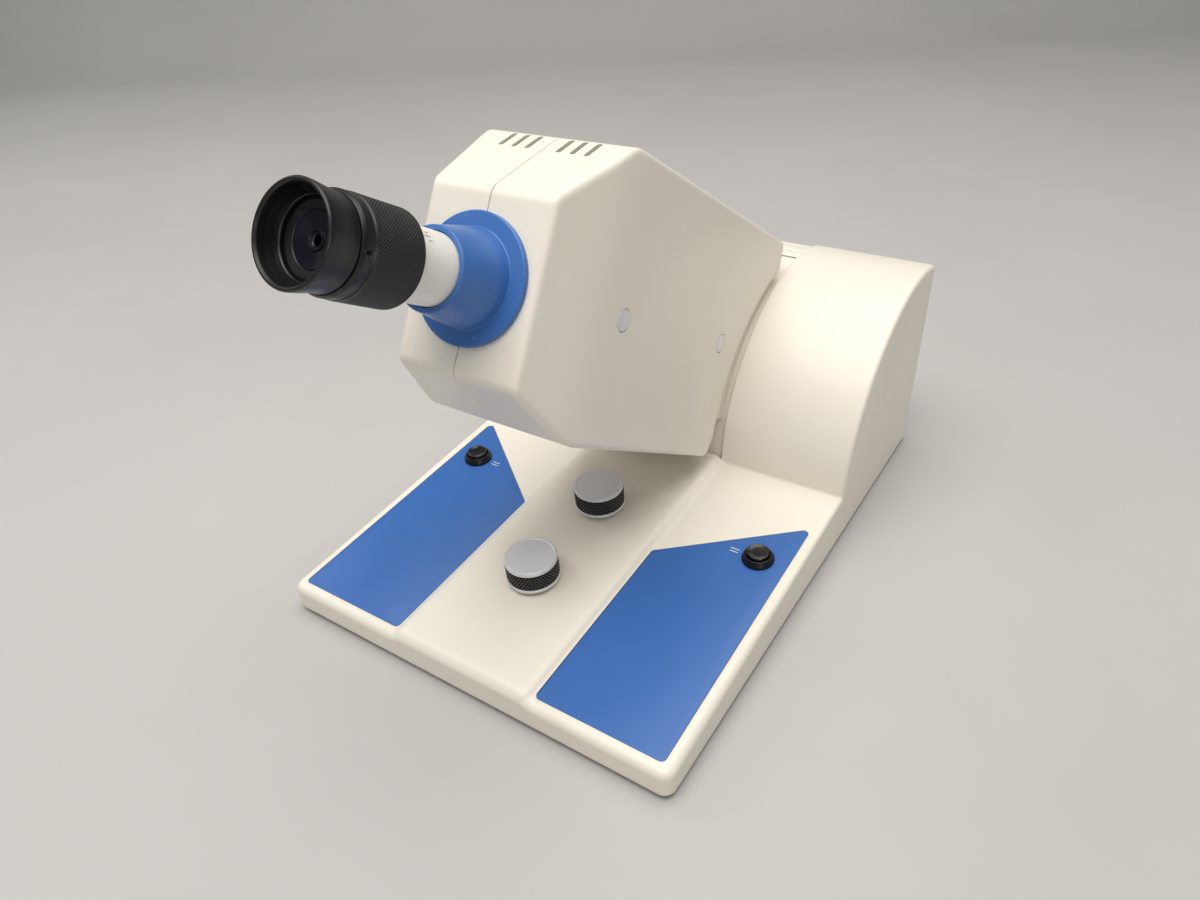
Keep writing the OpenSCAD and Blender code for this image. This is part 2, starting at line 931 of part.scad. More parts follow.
module friction_washers() {
    color("#4a4038")
    for (s = [-1, 1])
        at_pivot(s > 0 ? 38.5 : -slot_half + 1.1)
            tube(12, shaft_r + run, slot_half - 1.1 - 38.5);
}

module shell_screws() {
    color("#b9bcc0")
    for (s = [-1, 1], p = [plug_front, plug_rear])
        translate([0, p.x, p.y])
            rotate([0, s * 90, 0])
                difference() {
                    union() {
                        translate([0, 0, carrier_x0 + 0.5])
                            cylinder(r = 2, h = 8);
                        translate([0, 0, 37.6])
                            cylinder(r = 4.6, h = 2);
                    }
                    translate([0, 0, 38.4])
                        hexagon(2, 3);
                }
}

module side_plugs() {
    color("#c6c8ca")
    for (s = [-1, 1], p = [plug_front, plug_rear])
        translate([0, p.x, p.y])
            rotate([0, s * 90, 0])
                rotate_extrude()
                    polygon([[0, 39.8], [plug_r, 39.8], [plug_r, 41], [plug_r - 0.7, 41.4],
                             [2.6, 41.75], [0, 41.85]]);
}

// ---------- eyepiece ----------

module flange_collar() {
    color("#3d6fb5")
    on_face(0, eye_v)
        rotate_extrude()
            polygon([[tube_r + 0.4, 0.05], [flange_r, 0.05], [flange_r, 2], [flange_r - 0.8, 2.8],
                     [22, 3], [21.2, 3.3], [20.9, 4.2], [20.6, 7.5], [19.2, 15],
                     [17.6, 23], [17, collar_mouth_u - 0.4], [16.6, collar_mouth_u],
                     [tube_r + 0.4, collar_mouth_u]]);
}

module eyepiece_tube() {
    color("#f0ede4")
    on_face(-10, eye_v)
        difference() {
            union() {
                cylinder(r = tube_r, h = tube_front_u + 10);
                translate([0, 0, 10 - wall - 3])
                    cylinder(r = tube_r + 3, h = 3 - fit);
            }
            translate([0, 0, -1])
                cylinder(r = 11.5, h = big);
        }
}

module focus_barrel() {
    pitch_n = 72;
    bore = tube_r + run;
    color("#17181a")
    on_face(barrel_u, eye_v)
        difference() {
            rotate_extrude()
                polygon([[bore, 0], [barrel_r - 0.6, 0], [barrel_r, 0.6], [barrel_r, 23.4],
                         [barrel_r - 0.8, 24.2], [15, 24.2], [15, 28], [bore, 28], [bore, 18.8],
                         [12.5, 18.8], [12.5, 17.2], [bore, 17.2]]);
            for (k = [0 : pitch_n - 1])
                rotate(k * 360 / pitch_n)
                    translate([barrel_r + 0.1, 0, 1.2])
                        rotate(45)
                            cube([0.8, 0.8, 20.8]);
            // end of the set screw
            translate([0, 0, 27])
                rotate([0, 90, 0])
                    cylinder(r = 1.2, h = 30);
        }
}

module clamp_ring() {
    color("#141416")
    on_face(barrel_u + 24.3, eye_v)
        difference() {
            rotate_extrude()
                polygon([[15, 0], [18.1, 0], [18.4, 0.3], [18.4, 3.9], [17.7, 5.3], [15, 5.3]]);
            translate([0, 0, 2.7])
                rotate([0, 90, 0])
                    cylinder(r = 1.2, h = 30);
        }
}

module set_screw() {
    color("#8d8f91")
    on_face(barrel_u + 27, eye_v)
        translate([14.9, 0, 0])
            rotate([0, 90, 0])
                difference() {
                    cylinder(r = 1.2, h = 3.1);
                    translate([0, 0, 1.6])
                        hexagon(0.7, 3);
                }
}

module eyecup() {
    color("#161617")
    on_face(0, eye_v)
        rotate_extrude()
            polygon([[11, 71.2], [tube_r - 0.05, 71.2], [tube_r - 0.05, cup_u0], [16.9, cup_u0],
                     [17.3, cup_u0 + 0.5], [17.2, 81.6], [17.5, 84], [18.05, 87.6], [18.35, 90.3],
                     [eyecup_r, 92.4], [eyecup_r - 0.5, cup_u1], [eyecup_r - 1.2, cup_u1],
                     [16.6, 92.1], [16.1, 89.5], [15.2, 86.6], [14.6, 85.2], [14.1, 84.7],
                     [13.95, 83], [13.5, 83], [13.4, 83.8], [12.9, 83.8], [10, 83.2],
                     [10, 78], [11, 78]]);
}

module pupil_stop() {
    color("#20222c")
    on_face(0, eye_v)
        rotate_extrude()
            polygon([[1.7, 79.1], [9.95, 79.1], [9.95, 83], [9.6, 83.05], [3.8, 81.9], [3.55, 82.5],
                     [3.2, 82.55], [2.7, 81.8], [2.3, 81.9], [1.7, 81.3]]);
}

module lens_carrier() {
    color("#6d7074")
    on_face(0, eye_v)
        rotate_extrude()
            polygon([[9.5, 44], [11.45, 44], [11.45, 68.2], [14.4, 68.2], [14.4, 71], [9.5, 71],
                     [9.5, 63], [8.5, 63], [8.5, 46], [9.5, 46]]);
}

// bi-convex lens: half thickness at the rim, radius, bulge of each face
module lens(r, rim, bulge) {
    big_r = (r * r + bulge * bulge) / (2 * bulge);
    intersection() {
        translate([0, 0, -rim - bulge])
            cylinder(r = r, h = 2 * (rim + bulge));
        translate([0, 0, rim + bulge - big_r])
            sphere(r = big_r);
        translate([0, 0, big_r - rim - bulge])
            sphere(r = big_r);
    }
}

module ocular_lens() {
    color("#a9c4d8")
    on_face(67, eye_v)
        lens(9.5, 1, 1.8);
}

// ---------- optics in the head ----------

bench_v = -24;
bench_screw_u = [-70, -140];

module optical_bench() {
    post = 35 - bench_v;
    color("#4c4f52")
    difference() {
        on_face(0, bench_v) {
            box_at([2 * carrier_x0 - 0.02, 5, 130], [0, 0, -110]);
            // pedestals of the beam combiner and the split prism
            box_at([20, 13, 20], [0, 6.49, -120]);
            box_at([16, 15, 10], [0, 7.49, -62]);
            // posts of the mixture lamp
            for (s = [-1, 1])
                box_at([6, post, 10], [s * 21, post / 2, -120]);
        }
        for (u = bench_screw_u)
            on_face(u, bench_v)
                translate([-50, 0, 0])
                    rotate([0, 90, 0])
                        cylinder(r = 1.5, h = 100);
    }
}

module bench_screws() {
    color("#b9bcc0")
    for (s = [-1, 1], u = bench_screw_u)
        on_face(u, bench_v)
            rotate([0, s * 90, 0])
                difference() {
                    union() {
                        translate([0, 0, carrier_x1 - 12])
                            cylinder(r = 1.5, h = 13);
                        translate([0, 0, carrier_x1])
                            cylinder(r = 2.6, h = 1.4);
                    }
                    translate([0, 0, carrier_x1 + 0.6])
                        hexagon(1.2, 3);
                }
}

module bench_top() {
    on_face(0, 0)
        translate([0, bench_v + 2.5, 0])
            children();
}

// post ring standing on the bench and holding a round optic of radius r
module post_ring(u, r, half_t) {
    drop = -bench_v - 2.5 + eye_v;
    bench_top()
        translate([0, 0, u - half_t])
            difference() {
                union() {
                    translate([0, drop, 0])
                        cylinder(r = r + 3, h = 2 * half_t);
                    translate([-5, 0, 0])
                        cube([10, drop, 2 * half_t]);
                }
                translate([0, drop, -1])
                    cylinder(r = r, h = 2 * half_t + 2);
            }
}

module lamp_test() {
    color("#9a9da0")
    union() {
        post_ring(-166, 11, 5);
        on_face(-171, eye_v)
            cylinder(r = 11, h = 4);
    }
}

module colour_filters() {
    color("#d9b23c")
    on_face(-164.9, eye_v)
        cylinder(r = 11, h = 2.5);
    color("#a8533f")
    on_face(-120, 0)
        translate([0, 39, 0])
            rotate([-90, 0, 0])
                cylinder(r = 9, h = 2.5);
}

module lamp_mixture() {
    color("#9a9da0")
    on_face(-120, 0)
        translate([0, 35, 0])
            rotate([-90, 0, 0])
                difference() {
                    union() {
                        box_at([50, 18, 2], [0, 0, 1]);
                        cylinder(r = 13, h = 13);
                    }
                    translate([0, 0, -1])
                        cylinder(r = 9, h = 10);
                }
}

module beam_combiner() {
    color("#b9d2e2")
    on_face(-120, eye_v)
        box_at([24, 24, 24], [0, 0, 0]);
}

module objective_holder() {
    color("#2a2c2e")
    post_ring(-88, 12, 5);
}

module objective_lens() {
    color("#a9c4d8")
    on_face(-88, eye_v)
        lens(12, 1.5, 2);
}

module split_prism() {
    color("#b9d2e2")
    on_face(-62, eye_v)
        difference() {
            box_at([18, 20, 12], [0, 0, 0]);
            // sloping upper half
            translate([-20, 0, 6])
                rotate([12, 0, 0])
                    cube([40, 30, 10]);
        }
}

module field_stop() {
    color("#1a1a1b")
    bench_top()
        difference() {
            box_at([40, 40, 2], [0, 20.01, -50]);
            translate([0, -bench_v - 2.5 + eye_v, -52])
                cylinder(r = 4, h = 4);
        }
}

module lamp_board() {
    color("#2f6a45")
    on_face(-130, 0)
        box_at([56, 1.6, 60], [0, 48.85, 0]);
}

// ---------- output ----------

// from the centre of the base to the instrument's origin
module placed() {
    translate([0, base_centre_y, 0])
        children();
}

placed() base_casing();
placed() base_plate();
placed() rubber_feet();
placed() base_screws();
placed() panel(-1);  // panel_left
placed() panel(1);  // panel_right
placed() encoders();
placed() encoder_nuts();
placed() button_bezels();
placed() bezel_nuts();
placed() button_switches();
placed() main_board();
placed() board_standoffs();
placed() power_supply();
placed() rear_plate();
placed() power_inlet();
placed() data_socket();
placed() pivot_brackets();
placed() bracket_screws();
placed() pivot_shaft();
placed() pivot_nuts();
placed() head_shell(-1);  // head_shell_left
placed() head_shell(1);  // head_shell_right
placed() neck_cover();
placed() carrier_plates();
placed() carrier_bushes();
placed() friction_washers();
placed() shell_screws();
placed() side_plugs();
placed() flange_collar();
placed() eyepiece_tube();
placed() optical_bench();
placed() bench_screws();
placed() lamp_test();
placed() lamp_mixture();
placed() colour_filters();
placed() beam_combiner();
placed() objective_holder();
placed() objective_lens();
placed() split_prism();
placed() field_stop();
placed() lamp_board();
placed() lens_carrier();
placed() ocular_lens();
placed() focus_barrel();
placed() clamp_ring();
placed() set_screw();
placed() eyecup();
placed() pupil_stop();
placed() knob_core(knob1_s);  // front_knob_core
placed() knob_grip(knob1_s);  // front_knob_grip
placed() knob_cap(knob1_s);  // front_knob_cap
placed() knob_shaft(knob1_s);  // front_knob_shaft
placed() knob_core(knob2_s);  // rear_knob_core
placed() knob_grip(knob2_s);  // rear_knob_grip
placed() knob_cap(knob2_s);  // rear_knob_cap
placed() knob_shaft(knob2_s);  // rear_knob_shaft
placed() button_cap(-1);  // left_button_cap
placed() button_cap(1);  // right_button_cap
placed() power_rocker();
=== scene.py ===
import json
import math

import bmesh
import bpy
import numpy as np
from mathutils import Matrix, Vector

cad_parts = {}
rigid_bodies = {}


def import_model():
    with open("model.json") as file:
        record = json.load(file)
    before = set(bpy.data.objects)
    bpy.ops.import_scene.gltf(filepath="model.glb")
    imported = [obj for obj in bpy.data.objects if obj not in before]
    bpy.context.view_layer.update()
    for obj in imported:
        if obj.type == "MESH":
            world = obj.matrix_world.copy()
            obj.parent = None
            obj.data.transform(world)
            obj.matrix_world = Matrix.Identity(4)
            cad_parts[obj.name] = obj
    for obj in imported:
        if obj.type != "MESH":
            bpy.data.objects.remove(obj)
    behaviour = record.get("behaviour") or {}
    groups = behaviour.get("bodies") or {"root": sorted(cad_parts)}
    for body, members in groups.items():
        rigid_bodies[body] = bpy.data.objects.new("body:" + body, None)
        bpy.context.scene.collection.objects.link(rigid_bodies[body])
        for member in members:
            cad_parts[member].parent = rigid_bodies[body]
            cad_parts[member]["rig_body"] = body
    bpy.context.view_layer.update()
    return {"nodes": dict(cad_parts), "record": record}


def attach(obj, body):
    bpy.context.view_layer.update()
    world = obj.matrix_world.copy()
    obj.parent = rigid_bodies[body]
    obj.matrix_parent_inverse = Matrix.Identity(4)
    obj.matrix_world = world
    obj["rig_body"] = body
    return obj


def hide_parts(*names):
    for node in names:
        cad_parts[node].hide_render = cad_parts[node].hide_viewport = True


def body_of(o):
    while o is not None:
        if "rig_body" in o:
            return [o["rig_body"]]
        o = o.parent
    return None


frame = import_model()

MM = 0.001
BASE_Y = 19.5           # mm: the drawing's origin lies this far behind the frame's

# main dimensions in mm, round the centre of the base
HALF_W, HALF_D = 120.0, 170.0
DECK_FRONT, DECK_SLOPE = 17.8, math.radians(4.5)
BAND_RISE, BAND_FOOT = 3.4, 44.0
PIVOT = (138.0, 25.3)
CHEEK_R = 106.5
CHEEK_FOOT = 2.2         # how far the foot of the cheeks stands back from their arc
SLOT_HALF, SLOT_Y0, SLOT_Y1 = 42.0, 34.0, 137.0
WALL = 3.0
RIM_R, CORNER_R, EDGE_R = 4.2, 6.0, 2.8
SEAM = 0.25             # half width of the seam between the head's halves
NOSE = math.radians(29.5)
FACE = (-122.0, 202.0)
EYE_V = 1.0
KNOB_S = {"front_knob": 66.7, "rear_knob": 132.6}
BUTTON_X, BUTTON_S = 97.6, 137.6
PANEL_IN, PANEL_OUT = 44.2, 113.9                       # side edges of the blue panels
PANEL_S0, PANEL_S_IN, PANEL_S_OUT = 5.8, 116.7, 172.2   # their front edge and two rear corners
PLUGS = ((-71.4, 172.7), (28.8, 116.7))
PLUG_R = 5.2
TIP = (15.3, 47.2)      # lower rear corner of the head


# ---------- frames of reference ----------

def on_deck(x=0.0, s=0.0, z=0.0):
    """Origin on the deck's front edge, y up the slope, z off the deck."""
    return (Matrix.Translation((0, (BASE_Y - HALF_D) * MM, DECK_FRONT * MM))
            @ Matrix.Rotation(DECK_SLOPE, 4, "X")
            @ Matrix.Translation((x * MM, s * MM, z * MM)))


def on_face(u=0.0, v=0.0):
    """Origin on the head's front face, z along the optical axis towards the user."""
    return (Matrix.Translation((0, (BASE_Y + FACE[0]) * MM, FACE[1] * MM))
            @ Matrix.Rotation(math.pi / 2 - NOSE, 4, "X")
            @ Matrix.Translation((0, v * MM, u * MM)))


def at_side(side, y, z):
    """Origin in the middle plane, z pointing sideways."""
    return (Matrix.Translation((0, (BASE_Y + y) * MM, z * MM))
            @ Matrix.Rotation(side * math.pi / 2, 4, "Y"))


# ---------- mesh helpers ----------

def link(name, mesh):
    obj = bpy.data.objects.new(name, mesh)
    bpy.context.scene.collection.objects.link(obj)
    return obj


def mesh_from(name, verts, faces):
    mesh = bpy.data.meshes.new(name)
    verts = np.asarray(verts, dtype=np.float64)
    faces = [tuple(int(i) for i in f) for f in faces] if not isinstance(faces, np.ndarray) else faces
    if isinstance(faces, np.ndarray):
        n, k = faces.shape
        mesh.vertices.add(len(verts))
        mesh.vertices.foreach_set("co", verts.astype(np.float32).ravel())
        mesh.loops.add(n * k)
        mesh.loops.foreach_set("vertex_index", faces.astype(np.int32).ravel())
        mesh.polygons.add(n)
        mesh.polygons.foreach_set("loop_start", np.arange(0, n * k, k, dtype=np.int32))
        mesh.polygons.foreach_set("loop_total", np.full(n, k, dtype=np.int32))
        mesh.update(calc_edges=True)
        mesh.validate()
    else:
        mesh.from_pydata([tuple(v) for v in verts], [], faces)
        mesh.update()
    return mesh


def smooth(obj, angle=35):
    obj.data.shade_smooth()
    obj.data.set_sharp_from_angle(angle=math.radians(angle))
    return obj


def fillet(points, steps=4):
    """Closed outline of (a, b, radius) with its corners rounded."""
    out = []
    n = len(points)
    for i in range(n):
        a, b, c = (np.array(points[j % n][:2], dtype=float) for j in (i - 1, i, i + 1))
        r = points[i][2] if len(points[i]) > 2 else 0.0
        d1, d2 = a - b, c - b
        l1, l2 = np.linalg.norm(d1), np.linalg.norm(d2)
        if r <= 0 or l1 < 1e-9 or l2 < 1e-9:
            out.append(tuple(b))
            continue
        d1, d2 = d1 / l1, d2 / l2
        angle = math.acos(max(-1.0, min(1.0, float(d1 @ d2))))
        if abs(math.pi - angle) < 0.02:
            out.append(tuple(b))
            continue
        t = min(r / math.tan(angle / 2), 0.45 * l1, 0.45 * l2)
        r = t * math.tan(angle / 2)
        mid = (d1 + d2) / np.linalg.norm(d1 + d2)
        centre = b + mid * r / math.sin(angle / 2)
        p, q = b + d1 * t - centre, b + d2 * t - centre
        a0, a1 = math.atan2(p[1], p[0]), math.atan2(q[1], q[0])
        turn = (a1 - a0 + math.pi) % (2 * math.pi) - math.pi
        for k in range(steps + 1):
            a = a0 + turn * k / steps
            out.append((centre[0] + r * math.cos(a), centre[1] + r * math.sin(a)))
    return out


def lathe(name, profile, at, segs=128, steps=4, angle=35):
    """Closed (radius, height, rounding) outline turned round the z axis of at."""
    pts = fillet(profile, steps)
    n = len(pts)
    ang = np.arange(segs) * 2 * math.pi / segs
    verts, index = [], []
    for r, h in pts:
        if r < 1e-6:
            index.append([len(verts)] * segs)
            verts.append((0.0, 0.0, h * MM))
        else:
            index.append(list(range(len(verts), len(verts) + segs)))
            verts += [(r * math.cos(a) * MM, r * math.sin(a) * MM, h * MM) for a in ang]
    faces = []
    for i in range(n):
        j = (i + 1) % n
        for k in range(segs):
            m = (k + 1) % segs
            f = [index[i][k], index[i][m], index[j][m], index[j][k]]
            f = [f[q] for q in range(4) if f[q] != f[q - 1]]
            if len(f) > 2:
                faces.append(tuple(f))
    mesh = bpy.data.meshes.new(name)
    mesh.from_pydata(verts, [], faces)
    bm = bmesh.new()
    bm.from_mesh(mesh)
    bmesh.ops.recalc_face_normals(bm, faces=bm.faces)
    bm.to_mesh(mesh)
    bm.free()
    mesh.transform(at)
    return smooth(link(name, mesh), angle)


def prism(name, outline, z0, z1, at, bevel=0.0, steps=2):
    """Flat outline in mm raised from z0 to z1, with its rims rounded by bevel."""
    n = len(outline)
    rings = []
    pts = np.array(outline, dtype=float)
    nxt, prv = np.roll(pts, -1, axis=0), np.roll(pts, 1, axis=0)
    tang = nxt - prv
    norm = np.stack([tang[:, 1], -tang[:, 0]], axis=1)
    norm /= np.linalg.norm(norm, axis=1)[:, None]
    area = 0.5 * np.sum(pts[:, 0] * nxt[:, 1] - nxt[:, 0] * pts[:, 1])
    norm *= 1 if area > 0 else -1
    if bevel > 0:
        for k in range(steps + 1):
            a = math.pi / 2 * k / steps
            rings.append((pts - norm * bevel * (1 - math.sin(a)), z0 + bevel * (1 - math.cos(a))))
        for k in range(steps + 1):
            a = math.pi / 2 * k / steps
            rings.append((pts - norm * bevel * (1 - math.cos(a)), z1 - bevel * (1 - math.sin(a))))
    else:
        rings = [(pts, z0), (pts, z1)]
    verts = [(p[0] * MM, p[1] * MM, z * MM) for ring, z in rings for p in ring]
    faces = [tuple(range(n)), tuple(range((len(rings) - 1) * n, len(rings) * n))]
    for i in range(len(rings) - 1):
        for k in range(n):
            m = (k + 1) % n
            faces.append((i * n + k, i * n + m, (i + 1) * n + m, (i + 1) * n + k))
    mesh = bpy.data.meshes.new(name)
    mesh.from_pydata(verts, [], faces)
    bm = bmesh.new()
    bm.from_mesh(mesh)
    bmesh.ops.recalc_face_normals(bm, faces=bm.faces)
    bm.to_mesh(mesh)
    bm.free()
    mesh.transform(at)
    return smooth(link(name, mesh), 40)


def circle_2d(r, n=48, x=0.0, y=0.0):
    return [(x + r * math.cos(2 * math.pi * k / n), y + r * math.sin(2 * math.pi * k / n))
            for k in range(n)]


def merge(name, objs):
    """Joins several meshes into one object."""
    bm = bmesh.new()
    for o in objs:
        bm.from_mesh(o.data)
    mesh = bpy.data.meshes.new(name)
    bm.to_mesh(mesh)
    bm.free()
    for o in objs:
        bpy.data.objects.remove(o)
    return link(name, mesh)


def cut(obj, cutters):
    """Takes the cutters' volume out of obj."""
    for cutter in cutters:
        mod = obj.modifiers.new("cut", "BOOLEAN")
        mod.operation = "DIFFERENCE"
        mod.solver = "MANIFOLD"
        mod.object = cutter
    bpy.context.view_layer.update()
    graph = bpy.context.evaluated_depsgraph_get()
    mesh = bpy.data.meshes.new_from_object(obj.evaluated_get(graph))
    obj.modifiers.clear()
    old = obj.data
    obj.data = mesh
    bpy.data.meshes.remove(old)
    for cutter in cutters:
        bpy.data.objects.remove(cutter)
    return obj


# ---------- rounded solids from distance fields ----------

def rmax(a, b, r):
    """Intersection of two fields with the edge rounded to radius r."""
    u, v = np.maximum(r + a, 0), np.maximum(r + b, 0)
    return np.minimum(-r, np.maximum(a, b)) + np.sqrt(u * u + v * v)


def rmin(a, b, r):
    """Union of two fields with a fillet of radius r."""
    return -rmax(-a, -b, r)


def lines(*spans):
    """Grid lines from (start, end, step) spans."""
    out = []
    for a, b, step in spans:
        n = max(1, int(round((b - a) / step)))
        out += [a + (b - a) * k / n for k in range(n)]
    out.append(spans[-1][1])
    return np.array(out)


def nets(field, xs, ys, zs):
    """Surface nets: vertices and quads of the zero surface of a field, moved onto it."""
    X, Y, Z = np.meshgrid(xs, ys, zs, indexing="ij", sparse=True)
    F = field(X, Y, Z)
    inside = F < 0
    s8 = inside.astype(np.uint8)
    total = np.zeros(tuple(n - 1 for n in F.shape), dtype=np.uint8)
    offs = [(i, j, k) for i in (0, 1) for j in (0, 1) for k in (0, 1)]
    nx, ny, nz = total.shape
    for i, j, k in offs:
        total += s8[i:i + nx, j:j + ny, k:k + nz]
    active = (total > 0) & (total < 8)
    index = np.full(total.shape, -1, dtype=np.int32)
    ci, cj, ck = np.nonzero(active)
    index[ci, cj, ck] = np.arange(len(ci))
    acc = np.zeros((len(ci), 3))
    cnt = np.zeros(len(ci))
    for a in offs:
        for axis in range(3):
            if a[axis]:
                continue
            b = tuple(1 if q == axis else a[q] for q in range(3))
            fa = F[ci + a[0], cj + a[1], ck + a[2]]
            fb = F[ci + b[0], cj + b[1], ck + b[2]]
            m = (fa < 0) != (fb < 0)
            t = np.where(m, fa / np.where(m, fa - fb, 1), 0)
            pa = np.stack([xs[ci + a[0]], ys[cj + a[1]], zs[ck + a[2]]], axis=1)
            pb = np.stack([xs[ci + b[0]], ys[cj + b[1]], zs[ck + b[2]]], axis=1)
            acc += np.where(m[:, None], pa + (pb - pa) * t[:, None], 0)
            cnt += m
    v = acc / cnt[:, None]
    lo = np.stack([xs[ci], ys[cj], zs[ck]], axis=1)
    hi = np.stack([xs[ci + 1], ys[cj + 1], zs[ck + 1]], axis=1)
    pad = 0.35 * (hi - lo)
    h = 0.02
    for _ in range(6):
        f0 = field(v[:, 0], v[:, 1], v[:, 2])
        g = np.stack([(field(v[:, 0] + h * (q == 0), v[:, 1] + h * (q == 1), v[:, 2] + h * (q == 2))
                       - field(v[:, 0] - h * (q == 0), v[:, 1] - h * (q == 1), v[:, 2] - h * (q == 2)))
                      / (2 * h) for q in range(3)], axis=1)
        gg = np.maximum((g * g).sum(axis=1), 0.25)
        v = v - 0.8 * g * (f0 / gg)[:, None]
        v = np.clip(v, lo - pad, hi + pad)
    quads = []
    sx = inside[:-1, 1:-1, 1:-1] != inside[1:, 1:-1, 1:-1]
    i, j, k = np.nonzero(sx)
    j, k = j + 1, k + 1
    q = np.stack([index[i, j - 1, k - 1], index[i, j, k - 1], index[i, j, k], index[i, j - 1, k]], axis=1)
    flip = ~inside[i, j, k]
    q[flip] = q[flip][:, ::-1]
    quads.append(q)
    sy = inside[1:-1, :-1, 1:-1] != inside[1:-1, 1:, 1:-1]
    i, j, k = np.nonzero(sy)
    i, k = i + 1, k + 1
    q = np.stack([index[i - 1, j, k - 1], index[i - 1, j, k], index[i, j, k], index[i, j, k - 1]], axis=1)
    flip = ~inside[i, j, k]
    q[flip] = q[flip][:, ::-1]
    quads.append(q)
    sz = inside[1:-1, 1:-1, :-1] != inside[1:-1, 1:-1, 1:]
    i, j, k = np.nonzero(sz)
    i, j = i + 1, j + 1
    q = np.stack([index[i - 1, j - 1, k], index[i, j - 1, k], index[i, j, k], index[i - 1, j, k]], axis=1)
    flip = ~inside[i, j, k]
    q[flip] = q[flip][:, ::-1]
    quads.append(q)
    return v, np.concatenate(quads)


# ---------- base casing ----------

COS = math.cos(DECK_SLOPE)
TAN = math.tan(DECK_SLOPE)


def plan_field(x, y, r):
    qx, qy = np.abs(x) - (HALF_W - r), np.abs(y) - (HALF_D - r)
    return (np.hypot(np.maximum(qx, 0), np.maximum(qy, 0))
            + np.minimum(np.maximum(qx, qy), 0) - r)


def base_field(x, y, w):
    """The base in mm; w is the height above the deck plane."""
    z = w + DECK_FRONT + TAN * (y + HALF_D)
    ax = np.abs(x)
    deck = w * COS + 0 * y
    radius = np.hypot(y - PIVOT[0], np.maximum(z - PIVOT[1], 0))
    cheek = radius - CHEEK_R + CHEEK_FOOT * np.clip((60 - z) / 30, 0, 1) ** 2
    top = rmin(deck, cheek, 1.4)
    band_side = ((ax - BAND_FOOT) * BAND_RISE + w * 4) / math.hypot(BAND_RISE, 4)
    band = rmax(rmax(w * COS - BAND_RISE * COS, band_side, 1.6), y - SLOT_Y0 - 6, 1.0)
    top = rmin(top, band, 1.4)
    front = np.clip((-30 - y) / 90, 0, 1)
    rim = 2.2 + (RIM_R - 2.2) * front + 1.5 * np.clip((48 - ax) / 6, 0, 1) * np.clip((-100 - y) / 40, 0, 1)
    body = rmax(top, plan_field(x, y, CORNER_R), rim)
    slot = np.maximum(np.maximum(ax - SLOT_HALF, SLOT_Y0 - y), y - SLOT_Y1)
    roof = np.maximum(np.maximum(ax - SLOT_HALF, CHEEK_R - 1.5 - radius), 100 - y)
    outer = rmax(rmax(body, -slot, 1.2), -roof, 0.5)
    drum_room = np.maximum(np.maximum(ax - SLOT_HALF - 0.2, radius - 103.5), y - (HALF_D - WALL))
    hollow = np.minimum(outer + WALL, np.maximum(drum_room, SLOT_Y1 - 20 - y))
    shell = np.maximum(outer, -hollow)
    return rmax(shell, 3.0 - z, 0.8)


def panel_outline(side, grow=0.0, radius=2.5, steps=6):
    """Outline of a blue panel in deck coordinates (x, s)."""
    pts = [(PANEL_IN, PANEL_S0), (PANEL_OUT, PANEL_S0), (PANEL_OUT, PANEL_S_OUT), (PANEL_IN, PANEL_S_IN)]
    n = len(pts)
    moved = []
    for i in range(n):
        a, b, c = (np.array(pts[j % n]) for j in (i - 1, i, i + 1))
        d1, d2 = (b - a) / np.linalg.norm(b - a), (c - b) / np.linalg.norm(c - b)
        n1, n2 = np.array([d1[1], -d1[0]]), np.array([d2[1], -d2[0]])
        p = b + grow * (n1 + n2) / (1 + n1 @ n2)
        moved.append((p[0], p[1], radius + grow))
    out = fillet(moved, steps)
    if side < 0:
        out = [(-x, y) for x, y in out][::-1]
    return out


def rim_strip(name, side, at):
    """Fine raised lip of the casing round a panel."""
    inner = np.array(panel_outline(side, 0.18))
    outer = np.array(panel_outline(side, 1.05))
    n = len(inner)
    heights = ((0.0, -0.7), (0.0, 0.05), (0.18, 0.2), (0.5, 0.24), (0.82, 0.16), (1.0, -0.02), (1.0, -0.7))
    verts = []
    for t, z in heights:
        ring = inner * (1 - t) + outer * t
        verts += [(p[0] * MM, p[1] * MM, z * MM) for p in ring]
    faces = []
    m = len(heights)
    for i in range(m):
        for k in range(n):
            a, b = i * n + k, i * n + (k + 1) % n
            c, d = ((i + 1) % m) * n + (k + 1) % n, ((i + 1) % m) * n + k
            faces.append((a, b, c, d))
    mesh = bpy.data.meshes.new(name)
    mesh.from_pydata(verts, [], faces)
    bm = bmesh.new()
    bm.from_mesh(mesh)
    bmesh.ops.recalc_face_normals(bm, faces=bm.faces)
    bm.to_mesh(mesh)
    bm.free()
    mesh.transform(at)
    return smooth(link(name, mesh), 50)


